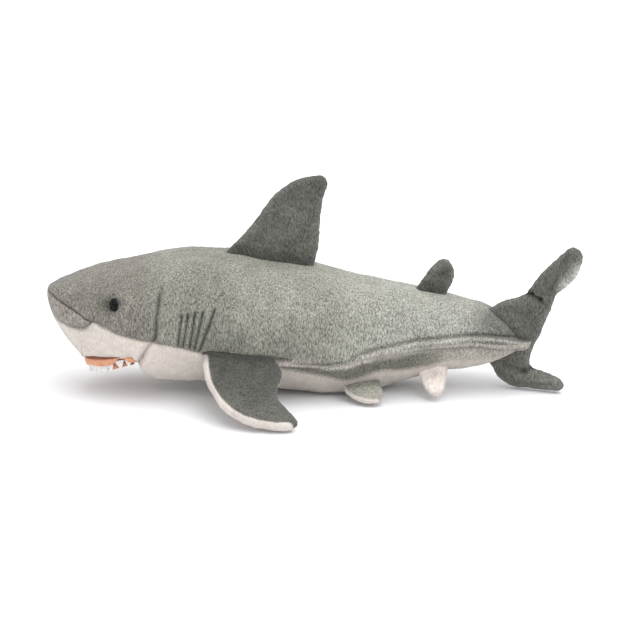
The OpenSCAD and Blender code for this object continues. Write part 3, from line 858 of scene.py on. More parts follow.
    def panels(self) -> dict[str, np.ndarray]:
        """Sorts the grid's faces into the sewn panels.

        Returns:
            Face corners for each panel.
        """
        n, m = self.points.shape[:2]
        i, j = np.meshgrid(np.arange(n), np.arange(m - 1), indexing="ij")
        nxt = (i + 1) % n
        quads = np.stack([i * m + j, i * m + j + 1, nxt * m + j + 1, nxt * m + j], -1).reshape(-1, 4)
        quads = quads[:, ::-1]
        row = np.minimum(i, n - 1 - i).ravel()  # distance in rows from the belly line
        right = (i < self.marks[-1]).ravel()
        flat = self.points.reshape(-1, 3)
        centre = flat[quads].mean(axis=1)
        x, z = centre[:, 0], centre[:, 2]
        head = x < self.neck_x(z)
        lip, seam, upper = self.marks[1:4]
        snout = (x < NOSE_X + 42 * MM) & (row < upper) & (row >= seam)
        roof = (row < lip) & (x > LIP_X) & (x < NECK_X + 1.5 * MM)
        flap = (row < lip) & (x <= LIP_X)
        names = np.full(len(quads), "", dtype=object)
        names[row >= seam] = "back"
        names[(row >= seam) & (x > SPLIT_X)] = "tail_back"
        names[row < seam] = "belly"
        names[(row < seam) & (x > SPLIT_X)] = "tail_belly"
        names[head & (row >= seam)] = "head"
        names[head & (row < seam)] = "muzzle"
        names[snout] = "snout"
        names[roof] = "roof"
        names[flap] = ""
        sided = np.isin(names.astype(str), ("back", "tail_back", "head"))
        names[sided & right] += "_right"
        names[sided & ~right] += "_left"
        return {str(key): quads[names == key] for key in sorted(set(names)) if key}

    def build(self, material: bpy.types.Material) -> dict[str, bpy.types.Object]:
        """Makes one object for each panel.

        Args:
            material: the pile finish.

        Returns:
            The panels by name.
        """
        self.sculpt()
        tint = self.paint().reshape(-1, 4)
        flat = self.points.reshape(-1, 3)
        made = {}
        for name, quads in self.panels().items():
            if name == "roof":
                continue
            made[name] = build_piece(f"{name}_plush", flat, quads, tint, material)
        return made

    def lining(self, material: bpy.types.Material) -> bpy.types.Object:
        """The coral cloth that lines the roof of the mouth.

        Args:
            material: its finish.

        Returns:
            The new piece.
        """
        flat = self.points.reshape(-1, 3)
        tint = dye(Tone.CORAL, flat, 79, 0.25)
        # painted shade: the lining darker deeper in the mouth
        deep = 0.5 * smooth(-0.195, -0.17, flat[:, 0])
        tint[:, :3] = mix(tint[:, :3], Tone.CORAL_IN_SHADE.linear[None], deep)
        return build_piece("mouth_lining_plush", flat, self.panels()["roof"], tint, material)

    def gill_lines(self, side: int) -> list[np.ndarray]:
        """Lines along the bottoms of the gill tucks, on the skin.

        Args:
            side: 1 for the right side, -1 for the left.

        Returns:
            One line for each tuck.
        """
        skin = self.points[(self.points[..., 1] * side > 0.02)]
        lines = []
        for gill in self.shape.gills:
            t = np.linspace(0.06, 0.94, 12)[:, None]
            path = np.array(gill.top) * (1 - t) + np.array(gill.foot) * t
            nearest = [skin[np.argmin((skin[:, 0] - x) ** 2 + (skin[:, 2] - z) ** 2)] for x, z in path]
            y = np.array(nearest)[:, 1]
            y = np.convolve(np.pad(y, 2, mode="edge"), np.ones(5) / 5, mode="valid")
            lines.append(np.stack([path[:, 0], y + side * 0.2 * MM, path[:, 1]], axis=1))
        return lines

    def dress(self, panels: dict[str, bpy.types.Object]) -> None:
        """Hides the CAD nodes that each panel stands for, binds the head's panels to the torso and bakes the
        others in place.

        Args:
            panels: the objects from build.
        """
        owners = {
            "snout": (("snout_panel",), "head_grey"),
            "head_left": (("head_panel_left",), "head_grey"),
            "head_right": (("head_panel_right",), "head_grey"),
            "muzzle": (("muzzle_panel",), "cream"),
            "back_left": (("back_panel_left", "body_filling"), "back_grey"),
            "back_right": (("back_panel_right",), "back_grey"),
            "belly": (("belly_panel",), "cream"),
            "tail_back_left": (("tail_panel_left", "keel_left", "tail_filling"), "tail_grey"),
            "tail_back_right": (("tail_panel_right", "keel_right"), "tail_grey"),
            "tail_belly": (("tail_belly_panel",), "cream"),
        }
        for name, panel in panels.items():
            nodes, slot = owners[name]
            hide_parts(*nodes)
            if name.startswith("tail"):
                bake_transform(panel)
            elif name.startswith(("back", "belly")):
                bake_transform(panel)
            else:
                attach(panel, "torso")

    def dress_lining(self, lining: bpy.types.Object) -> None:
        """Binds the lining to the head.

        Args:
            lining: the object from lining.
        """
        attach(lining, "torso")
        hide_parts("mouth_lining")


# ------------------------------------------------------------------ stuffed fins
def through(knots: Sequence[Sequence[float]], step: float) -> np.ndarray:
    """An evenly spaced smooth line through knots.

    Args:
        knots: the points it passes.
        step: spacing of the points of the line.

    Returns:
        N by 2 or N by 3 points.
    """
    p = np.array(knots, float)
    p = np.concatenate([2 * p[:1] - p[1:2], p, 2 * p[-1:] - p[-2:-1]])
    t = np.linspace(0, 1, 12, endpoint=False)[:, None]
    parts = []
    for a, b, c, d in zip(p[:-3], p[1:-2], p[2:-1], p[3:]):
        parts.append(0.5 * (2 * b + (c - a) * t + (2 * a - 5 * b + 4 * c - d) * t**2
                            + (3 * b - a - 3 * c + d) * t**3))
    line = np.concatenate([*parts, p[-2:-1]])
    run = np.concatenate([[0], np.cumsum(np.linalg.norm(np.diff(line, axis=0), axis=1))])
    even = np.linspace(0, run[-1], max(3, int(round(run[-1] / step)) + 1))
    return np.stack([np.interp(even, run, line[:, k]) for k in range(line.shape[1])], axis=1)


def line_distance(points: np.ndarray, line: np.ndarray) -> np.ndarray:
    """Distance from flat points to an open line.

    Args:
        points: N by 2 positions.
        line: M by 2 points of the line.

    Returns:
        N distances.
    """
    return np.min([segment_distance(points, a, b) for a, b in zip(line[:-1], line[1:])], axis=0)


@dataclass(frozen=True)
class FinPattern:
    """The paper pattern of one stuffed fin, in millimetres."""

    outline: tuple  # from one end of the root round to the other
    thick: float
    roll: float = 12.0  # how far in from the seam the filling is full
    tuck: float = 9.0  # how far the root goes into the body
    creases: tuple = ()  # (x0, y0, x1, y1, depth, width)
    grid: float = 2.3

    def root(self) -> tuple[np.ndarray, np.ndarray, np.ndarray]:
        """The root line and the direction out from it.

        Returns:
            Its two ends, and a unit vector on the pattern.
        """
        start, end = np.array(self.outline[0]), np.array(self.outline[-1])
        across = (end - start) / np.linalg.norm(end - start)
        outward = np.array([-across[1], across[0]])
        if (np.mean(self.outline, axis=0) - start) @ outward < 0:
            outward = -outward
        return start, end, outward

    def cut(self) -> tuple[np.ndarray, np.ndarray, np.ndarray, np.ndarray]:
        """Cuts the pattern.

        Returns:
            Flat points, triangles, each point's distance in from the seam, and the closed outline.
        """
        rim = through(self.outline, self.grid)
        a, b = rim[0], rim[-1]
        deep = np.arange(self.grid, self.tuck + 0.1, self.grid)[:, None]
        lead, trail = rim[0] - rim[2], rim[-1] - rim[-3]
        lead, trail = lead / np.linalg.norm(lead), trail / np.linalg.norm(trail)
        back = np.linspace(0, 1, max(3, int(np.linalg.norm(b - a) / self.grid)))[1:-1, None]
        rear, front = b + trail * deep, a + lead * deep
        loop = np.concatenate([rim, rear, rear[-1] + (front[-1] - rear[-1]) * back, front[::-1]])
        low, high = loop.min(axis=0), loop.max(axis=0)
        rows = np.arange(low[1], high[1], self.grid * 0.87)
        cells = []
        for k, y in enumerate(rows):
            row = np.arange(low[0] + (k % 2) * self.grid / 2, high[0], self.grid)
            cells.append(np.stack([row, np.full(len(row), y)], axis=1))
        cells = np.concatenate(cells)
        closed = np.concatenate([loop, loop[:1]])
        inside = np.zeros(len(cells), bool)
        for (x0, y0), (x1, y1) in zip(closed[:-1], closed[1:]):
            if y0 != y1:
                hit = (cells[:, 1] >= min(y0, y1)) & (cells[:, 1] < max(y0, y1))
                inside ^= hit & (cells[:, 0] < x0 + (cells[:, 1] - y0) * (x1 - x0) / (y1 - y0))
        cells = cells[inside & (line_distance(cells, closed) > 0.55 * self.grid)]
        points = np.concatenate([loop, cells])
        flat, _, faces, *_ = delaunay_2d_cdt(
            [Vector(point) for point in points.tolist()], [], [list(range(len(loop)))], 1, 1e-6
        )
        flat = np.array([tuple(v) for v in flat])
        seam = np.concatenate([front[::-1], rim, rear])
        return flat, np.array([list(f) for f in faces]), line_distance(flat, seam), closed


@dataclass(frozen=True)
class RootFrame:
    """Where a fin's pattern lies: origin, and the directions of its x and y."""

    origin: Vector
    along: Vector
    out: Vector

    @classmethod
    def on_hinge(cls, joint: str, droop: float = 90.0, side: int = 1) -> "RootFrame":
        """The frame of a fin that is sewn on along its joint's axis.

        Args:
            joint: the joint's name.
            droop: how far the fin leans from level, in degrees; 90 is straight up.
            side: 1 for the right side, -1 for the left.

        Returns:
            The frame.
        """
        axis = Vector(JOINTS[joint]["axis"]).normalized()
        along = axis if axis.x > 0 else -axis
        rise = (Vector((0, 0, 1)) - along * along.z).normalized()
        level = rise.cross(along) * side
        lean = math.radians(droop)
        return cls(Vector(JOINTS[joint]["pos_m"]), along, level * math.cos(lean) + rise * math.sin(lean))

    def shifted(self, step: Sequence[float]) -> "RootFrame":
        """The same frame a step away.

        Args:
            step: the step in metres.

        Returns:
            The moved frame.
        """
        return RootFrame(self.origin + Vector(step), self.along, self.out)

    def place(self, flat: np.ndarray, height: np.ndarray) -> np.ndarray:
        """Puts pattern points in space.

        Args:
            flat: N by 2 pattern points in millimetres.
            height: N heights off the pattern's plane, in millimetres.

        Returns:
            N by 3 positions in metres.
        """
        normal = self.along.cross(self.out)
        return (np.array(self.origin) + MM * (flat[:, :1] * np.array(self.along)
                + flat[:, 1:2] * np.array(self.out) + height[:, None] * np.array(normal)))


@dataclass(frozen=True)
class StuffedFin:
    """One fin: two sheets of pile sewn rim to rim, turned and filled."""

    name: str
    pattern: FinPattern
    frame_at: RootFrame
    paint: Paint
    bodies: tuple[str, str]  # the body it is sewn to, and its own
    nodes: tuple[str, ...]  # the CAD nodes it stands for
    slot: str
    fill: float = 0.7
    pressure: float = 4.0
    steps: int = 14
    give: float = 2.4 * MM  # the most that the filling moves the cloth

    def build(self, material: bpy.types.Material) -> bpy.types.Object:
        """Cuts, sews and fills the fin.

        Args:
            material: its finish.

        Returns:
            The new piece.
        """
        flat, faces, inset, closed = self.pattern.cut()
        full = self.pattern.thick / 2
        share = np.clip(inset / self.pattern.roll, 0, 1)
        dome = 0.84 * np.sqrt(1 - (1 - share) ** 2)
        height = full * (dome + 0.16 * smooth(0, 2.4, inset / self.pattern.roll))
        rim = line_distance(flat, closed) < 0.05
        height = np.where(rim, 0, np.maximum(height, 0.6))
        upper = self.frame_at.place(flat, height)
        lower = self.frame_at.place(flat, -height)
        twin = np.where(rim, np.arange(len(flat)), np.arange(len(flat)) + len(flat))
        both = np.concatenate([faces, twin[faces][:, ::-1]])
        points = np.concatenate([upper, lower])
        mesh = bpy.data.meshes.new(self.name)
        used, compact = np.unique(both, return_inverse=True)
        mesh.from_pydata(points[used].tolist(), [], compact.reshape(both.shape).tolist())
        side = np.concatenate([np.ones(len(flat)), -np.ones(len(flat))])
        side[: len(flat)][rim] = 0
        data = np.stack([np.tile(flat[:, 0], 2), np.tile(flat[:, 1], 2), side], 1)[used]
        mesh.attributes.new("cut", "FLOAT_VECTOR", "POINT").data.foreach_set("vector", data.ravel())
        mesh.attributes.new("inset", "FLOAT", "POINT").data.foreach_set("value", np.tile(inset, 2)[used])
        shell = bmesh.new()
        shell.from_mesh(mesh)
        bmesh.ops.recalc_face_normals(shell, faces=shell.faces)
        shell.to_mesh(mesh)
        shell.free()
        piece = bpy.data.objects.new(self.name, mesh)
        bpy.context.scene.collection.objects.link(piece)
        self._swell(piece)
        self._finish(piece, material)
        return piece

    def _swell(self, piece: bpy.types.Object) -> None:
        """Lets the filling push the cloth out, with the root and the seam held.

        Args:
            piece: the sewn fin, which is changed.
        """
        mesh = piece.data
        start = vertex_array(mesh)
        inset = attribute_array(mesh, "inset", 1)[:, 0]
        cut = attribute_array(mesh, "cut", 3)
        held = piece.vertex_groups.new(name="held")
        still = (self._depth(cut) < 1.0) | (inset < 0.1)
        held.add([int(k) for k in np.flatnonzero(still)], 1.0, "REPLACE")
        cloth = piece.modifiers.new("cloth", "CLOTH")
        cloth.settings.vertex_group_mass = "held"
        cloth.settings.quality = 4
        cloth.settings.use_pressure = True
        cloth.settings.uniform_pressure_force = self.pressure
        cloth.settings.effector_weights.gravity = 0
        cloth.settings.shrink_min = -0.02
        cloth.settings.bending_stiffness = 0.3
        scene = bpy.context.scene
        for step in range(1, self.steps + 1):
            scene.frame_set(step)
        ready = piece.evaluated_get(bpy.context.evaluated_depsgraph_get())
        moved = vertex_array(ready.data)
        piece.modifiers.remove(cloth)
        scene.frame_set(1)
        shift = moved - start
        length = np.linalg.norm(shift, axis=1, keepdims=True)
        shift *= np.minimum(1, self.give / np.maximum(length, 1e-9))
        mesh.vertices.foreach_set("co", (start + shift).ravel())
        mesh.update()

    def _depth(self, cut: np.ndarray) -> np.ndarray:
        """How far pattern points stand out from the root line, in millimetres."""
        start, _, outward = self.pattern.root()
        return (cut[:, :2] - start) @ outward

    def _finish(self, piece: bpy.types.Object, material: bpy.types.Material) -> None:
        """Smooths the cloth, presses in the creases, raises the pile and dyes it, with painted shade at the
        root and in the creases.

        Args:
            piece: the filled fin, which is changed.
            material: its finish.
        """
        finer = piece.modifiers.new("finer", "SUBSURF")
        finer.levels = finer.render_levels = 1
        graph = bpy.context.evaluated_depsgraph_get()
        mesh = bpy.data.meshes.new_from_object(piece.evaluated_get(graph))
        piece.modifiers.remove(finer)
        piece.data = mesh
        place = vertex_array(mesh)
        cut = attribute_array(mesh, "cut", 3)
        inset = attribute_array(mesh, "inset", 1)[:, 0]
        normal = normal_array(mesh)
        push = 0.7 * MM * lumps(place, 17 * MM, 31) + 0.28 * MM * lumps(place, 2.6 * MM, 33)
        for x0, y0, x1, y1, depth, width in self.pattern.creases:
            gap = segment_distance(cut[:, :2], (x0, y0), (x1, y1))
            push -= depth * MM * bell(gap, width) * (0.3 + 0.7 * smooth(-0.4, 0.4, cut[:, 2]))
        push -= 0.5 * MM * bell(inset, 1.2)
        place = place + normal * push[:, None]
        place[:, 2] = np.maximum(place[:, 2], 0.3 * MM)
        mesh.vertices.foreach_set("co", place.ravel())
        tint = self.paint(place, cut[:, :2], cut[:, 2], inset)
        # painted shade where the fin goes into the body
        tint[:, :3] *= (1 - 0.34 * smooth(5, -3, self._depth(cut)))[:, None]
        # painted shade in the creases
        for x0, y0, x1, y1, depth, width in self.pattern.creases:
            gap = segment_distance(cut[:, :2], (x0, y0), (x1, y1))
            tint[:, :3] *= (1 - min(0.5, 0.2 * depth) * bell(gap, 0.8 * width))[:, None]
        tint = np.clip(tint, 0, 1.5).astype(np.float32)
        layer = mesh.attributes.new("tint", "FLOAT_COLOR", "POINT")
        layer.data.foreach_set("color", tint.ravel())
        for extra in ("cut", "inset"):
            mesh.attributes.remove(mesh.attributes[extra])
        mesh.materials.append(material)
        mesh.shade_smooth()
        mesh.update()

    def dress(self, piece: bpy.types.Object) -> None:
        """Args:
            piece: the object from build.
        """
        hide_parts(*self.nodes)
        ends = self.pattern.root()
        middle, outward = (ends[0] + ends[1]) / 2, ends[2]
        near, far = middle - 4 * outward, middle + 10 * outward
        start, end = self.frame_at.place(np.array([near, far]), np.zeros(2))
        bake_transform(piece)


def attribute_array(mesh: bpy.types.Mesh, name: str, width: int) -> np.ndarray:
    """Values that a mesh's points carry.

    Args:
        mesh: the mesh.
        name: the attribute's name.
        width: how many numbers each point has, 1 or 3.

    Returns:
        N by width numbers.
    """
    flat = np.empty(len(mesh.vertices) * width)
    mesh.attributes[name].data.foreach_get("vector" if width == 3 else "value", flat)
    return flat.reshape(-1, width)


def vertex_array(mesh: bpy.types.Mesh) -> np.ndarray:
    """Positions of a mesh's vertices.

    Args:
        mesh: the mesh.

    Returns:
        N by 3 positions in metres.
    """
    flat = np.empty(len(mesh.vertices) * 3)
    mesh.vertices.foreach_get("co", flat)
    return flat.reshape(-1, 3)


def normal_array(mesh: bpy.types.Mesh) -> np.ndarray:
    """Outward directions at a mesh's vertices.

    Args:
        mesh: the mesh.

    Returns:
        N by 3 unit vectors.
    """
    flat = np.empty(len(mesh.vertices) * 3)
    mesh.vertex_normals.foreach_get("vector", flat)
    return flat.reshape(-1, 3)


def dye(tone: Tone, place: np.ndarray, seed: int, show: float, uneven: float = 0.08) -> np.ndarray:
    """One dyed colour with soft blotches.

    Args:
        tone: the colour.
        place: N by 3 positions in metres.
        seed: which blotches.
        show: how strongly the tufts show.
        uneven: how strong the blotches are.

    Returns:
        N by 4 tints.
    """
    value = 1 + uneven * lumps(place, 16 * MM, seed) + 0.5 * uneven * lumps(place, 6 * MM, seed + 1)
    colour = tone.linear[None] * value[:, None]
    return np.concatenate([colour, np.full((len(place), 1), show)], axis=1)


def paint_grey(place: np.ndarray, cut: np.ndarray, side: np.ndarray, inset: np.ndarray) -> np.ndarray:
    """Dark grey pile on both sides, a little lighter in a band just inside the seam, with painted shade on
    the seam itself.

    Args:
        place: N by 3 positions in metres.
        cut: N by 2 pattern points; not used.
        side: 1 on the upper sheet, -1 on the lower one, 0 at the seam; not used.
        inset: distances in from the seam, in millimetres.

    Returns:
        N by 4 tints.
    """
    tint = dye(Tone.FIN, place, 41, 0.8, 0.14)
    # lighter in a band inside the seam; painted shade in the seam's groove
    tint[:, :3] *= (1 + 0.25 * bell(inset - 2.5, 2.5) - 0.3 * bell(inset, 0.9))[:, None]
    return tint


def paint_two_sided(top: Tone, lead: Sequence[tuple[float, float]], strip: float) -> Paint:
    """A paint that gives a fin a grey top and a cream underside rolled over its front edge.

    Args:
        top: the colour above.
        lead: pattern points of the front edge.
        strip: how far the cream comes over it, in millimetres.

    Returns:
        The paint.
    """
    front = through(lead, 2.0)

    def paint(place: np.ndarray, cut: np.ndarray, side: np.ndarray, inset: np.ndarray) -> np.ndarray:
        """Grey above the seam, cream below it.

        Args:
            place: N by 3 positions in metres.
            cut: N by 2 pattern points.
            side: 1 on the upper sheet, -1 on the lower one, 0 at the seam.
            inset: distances in from the seam, in millimetres.

        Returns:
            N by 4 tints.
        """
        above = dye(top, place, 43, 0.85, 0.14)
        below = dye(Tone.CREAM, place, 47, 0.14, 0.03)
        gap = line_distance(cut, front)
        wave = 0.5 * lumps(place, 9 * MM, 44)
        above[:, :3] *= (0.78 + 0.27 * smooth(20, 62, cut[:, 1]))[:, None]
        share = (smooth(-0.25, 0.25, side) * smooth(strip - 0.7, strip + 0.7, gap + wave))[:, None]
        tint = below * (1 - share) + above * share
        # painted shade in the seam's groove on the grey side
        tint[:, :3] *= (1 - 0.25 * bell(inset, 0.9) * share[:, 0])[:, None]
        return tint

    return paint


def paint_caudal(place: np.ndarray, cut: np.ndarray, side: np.ndarray, inset: np.ndarray) -> np.ndarray:
    """Dark grey pile with light tips on the rear edge of the upper lobe, and a painted highlight on the
    lower lobe.

    Args:
        place: N by 3 positions in metres.
        cut: N by 2 pattern points.
        side: 1 on the upper sheet, -1 on the lower one, 0 at the seam.
        inset: distances in from the seam, in millimetres.

    Returns:
        N by 4 tints.
    """
    tint = paint_grey(place, cut, side, inset)
    gap = segment_distance(cut, (70, 100), (82, 117))
    tips = np.minimum(1, 1.3 * np.exp(-((gap / 6.5) ** 2))) * (0.75 + 0.35 * lumps(place, 4 * MM, 49))
    tint[:, :3] = mix(tint[:, :3], np.array([[0.50, 0.49, 0.45]]), np.clip(tips, 0, 1))
    # painted highlight on the lower lobe
    sheen = np.exp(-((segment_distance(cut, (34, 14), (60, 9)) / 7) ** 2))
    tint[:, :3] *= (1 + 0.45 * sheen)[:, None]
    return tint


def paint_dorsal(place: np.ndarray, cut: np.ndarray, side: np.ndarray, inset: np.ndarray) -> np.ndarray:
    """Dark grey pile, darker at the tip.

    Args:
        place: N by 3 positions in metres.
        cut: N by 2 pattern points.
        side: 1 on the upper sheet, -1 on the lower one, 0 at the seam.
        inset: distances in from the seam, in millimetres.

    Returns:
        N by 4 tints.
    """
    tint = paint_grey(place, cut, side, inset)
    tint[:, :3] *= (1.06 - 0.3 * smooth(45, 75, cut[:, 1]))[:, None]
    return tint


def paint_cream(place: np.ndarray, cut: np.ndarray, side: np.ndarray, inset: np.ndarray) -> np.ndarray:
    """Cream pile on both sides.

    Args:
        place: N by 3 positions in metres.
        cut: N by 2 pattern points; not used.
        side: 1 on the upper sheet, -1 on the lower one, 0 at the seam; not used.
        inset: distances in from the seam, in millimetres.

    Returns:
        N by 4 tints.
    """
    tint = dye(Tone.CREAM, place, 53, 0.3, 0.03)
    tint[:, :3] *= 1.26
    # painted shade in the seam's groove
    tint[:, :3] *= (1 - 0.2 * bell(inset, 1.0))[:, None]
    return tint


def paint_jaw(place: np.ndarray, cut: np.ndarray, side: np.ndarray, inset: np.ndarray) -> np.ndarray:
    """Coral inside the mouth, cream underneath.

    Args:
        place: N by 3 positions in metres.
        cut: N by 2 pattern points; not used.
        side: 1 on the upper sheet, -1 on the lower one, 0 at the seam.
        inset: distances in from the seam, in millimetres.

    Returns:
        N by 4 tints.
    """
    inner = dye(Tone.CORAL, place, 59, 0.25)
    below = dye(Tone.CREAM, place, 61, 0.16, 0.03)
    share = np.maximum(smooth(-0.25, 0.25, side), smooth(5.0, 3.5, inset))[:, None]
    return below * (1 - share) + inner * share


@dataclass(frozen=True)
class FinSet:
    """Patterns of all the fins."""

    dorsal: FinPattern = FinPattern(
        ((7, 2), (14, 13), (22.5, 28), (32, 46), (37.5, 55), (48, 66), (59, 73), (69.5, 77.2),
         (75, 78), (80, 75), (82, 69), (80, 58), (80.5, 43), (82, 27), (83.5, 12), (83, 0)), 13.0,
        tuck=17.0, creases=((20, 4, 40, 26, 0.8, 4.0), (60, 2, 66, 30, 0.7, 4.0)))
    second_dorsal: FinPattern = FinPattern(
        ((5, 1), (6.5, 5), (9, 12), (13, 19.5), (17, 24), (21, 26), (26, 24.5), (30, 20.5),
         (33.5, 13), (34, 5.5), (33, 0)), 10.5, roll=9.0, tuck=14.0, grid=1.8,
        creases=((20, 10, 26, 16, 1.6, 4.0),))
    pectoral: FinPattern = FinPattern(
        ((0, 0), (1, 8), (5, 25), (13, 42), (22, 54), (33, 63), (49, 70), (64, 72.5), (78, 72),
         (86, 68.5), (87, 62), (81, 53), (73.5, 43.5), (69, 35), (68.5, 26), (71, 17), (71.5, 8),
         (68, 0)), 11.0, roll=10.0, tuck=12.0,
        creases=((20, 4, 17, 22, 1.2, 4.0), (44, 2, 46, 16, 0.9, 4.0)))
    pelvic: FinPattern = FinPattern(
        ((0, 0), (2, 6), (7, 13), (14, 19), (22, 22.5), (29, 23.5), (34, 20), (36.5, 12), (36, 0)),
        8.0, roll=8.0, tuck=10.0, grid=1.8, creases=((2, 1.5, 34, 2.5, 1.0, 2.0),))
    anal: FinPattern = FinPattern(
        ((0, 0), (2, 11), (3.5, 21), (6, 29), (11, 33.5), (17, 34), (22, 30), (25, 21), (27.5, 11), (31, 0)),
        13.0, roll=9.0, tuck=8.0, grid=1.8)
    caudal: FinPattern = FinPattern(
        ((0, 22), (9, 10), (18, 4.5), (26, 1.6), (44, 1), (62, 0.8), (69, 2.5), (71.5, 9), (65, 15.5),
         (53, 19.5), (42, 23), (39.5, 29), (43, 42), (48, 52), (52, 64), (58, 79), (60.5, 89),
         (64, 94), (71, 100), (78, 108), (82, 117), (85, 127), (83, 134.5), (76, 138.5), (69, 136),
         (56, 122.5), (45, 111), (37, 98.5), (28, 89.5), (16, 85), (8, 80.5), (0, 75)), 13.0,
        roll=11.0, tuck=12.0,
        creases=((24, 93, 37, 92.5, 4.2, 2.0), (37, 92.5, 47, 88, 3.8, 2.2), (47, 88, 53, 83, 1.6, 2.4),
                 (62, 108, 56, 98, 1.4, 3.0), (18, 26, 34, 19, 1.6, 2.6), (34, 19, 44, 24, 2.2, 2.6),
                 (26, 8, 60, 9, 0.8, 3.0)))
    jaw: FinPattern = FinPattern(
        ((0, 0), (1, 10), (3.5, 19), (8, 26.5), (14.5, 32), (22.5, 35.5), (30, 36.5), (37.5, 35.5),
         (45.5, 32), (52, 26.5), (56.5, 19), (59, 10), (60, 0)), 5.6, roll=6.0, tuck=5.0, grid=1.8)

    def fins(self) -> list[StuffedFin]:
        """Every stuffed fin and the lower jaw.

        Returns:
            The fins, ready to build.
        """
        grey_top = paint_two_sided(Tone.FIN, self.pectoral.outline[:9], 5.0)
        pelvic_top = paint_two_sided(Tone.PELVIC, self.pelvic.outline[:6], 3.2)
        lean = math.radians(18)
        along = Vector((math.cos(lean), -math.sin(lean), 0))
        tail = RootFrame(Vector((FORK_X, 0, 0)), along, Vector((0, 0, 1)))
        jaw_at = Vector(JOINTS["lower_jaw_open"]["pos_m"]) + Vector((0, -0.030, 0.003))
        rise = math.radians(BodyShape.lip_rise)
        jaw = RootFrame(jaw_at, Vector((0, 1, 0)), Vector((-math.cos(rise), 0, -math.sin(rise))))
        made = [
            StuffedFin("dorsal_fin_plush", self.dorsal,
                       RootFrame.on_hinge("dorsal_fin_flop").shifted((-0.0022, 0, -0.0022)),
                       paint_dorsal, ("torso", "dorsal_fin"),
                       ("dorsal_left_panel", "dorsal_right_panel", "dorsal_filling"), "fin_grey"),
            StuffedFin("second_dorsal_fin_plush", self.second_dorsal,
                       RootFrame.on_hinge("second_dorsal_fin_flop"), paint_grey,
                       ("tail_stalk", "second_dorsal_fin"),
                       ("second_dorsal_left_panel", "second_dorsal_right_panel", "second_dorsal_filling"),
                       "fin_grey"),
            StuffedFin("anal_fin_plush", self.anal,
                       RootFrame.on_hinge("anal_fin_flop", -28, -1).shifted((-0.003, -0.007, 0.013)),
                       paint_cream, ("tail_stalk", "anal_fin"),
                       ("anal_fin_left_panel", "anal_fin_right_panel", "anal_fin_filling"), "cream"),
            StuffedFin("caudal_fin_plush", self.caudal, tail, paint_caudal, ("tail_stalk", "caudal_fin"),
                       ("caudal_left_panel", "caudal_right_panel", "caudal_filling"), "fin_grey"),
            StuffedFin("lower_jaw_plush", self.jaw, jaw, paint_jaw, ("torso", "lower_jaw"),
                       ("jaw_lining", "jaw_underside", "jaw_filling"), "cream", 0.6),
        ]
        for side, word in ((-1, "left"), (1, "right")):
            made.append(StuffedFin(
                f"{word}_pectoral_fin_plush", self.pectoral,
                RootFrame.on_hinge(f"{word}_pectoral_fin_flap", -30, side), self._handed(grey_top, side),
                ("torso", f"{word}_pectoral_fin"),
                (f"{word}_pectoral_top", f"{word}_pectoral_underside", f"{word}_pectoral_filling"),
                "fin_grey"))
            made.append(StuffedFin(
                f"{word}_pelvic_fin_plush", self.pelvic,
                RootFrame.on_hinge(f"{word}_pelvic_fin_flap", -22, side), self._handed(pelvic_top, side),
                ("torso", f"{word}_pelvic_fin"),
                (f"{word}_pelvic_top", f"{word}_pelvic_underside", f"{word}_pelvic_filling"),
                "fin_grey"))
        return made

    @staticmethod
    def _handed(paint: Paint, side: int) -> Paint:
        """Turns a paint over for the left side, whose pattern faces down.

        Args:
            paint: the paint of a right fin.
            side: 1 for the right side, -1 for the left.

        Returns:
            The paint for that side.
        """
        if side > 0:
            return paint
        return lambda place, cut, face, inset: paint(place, cut, -face, inset)


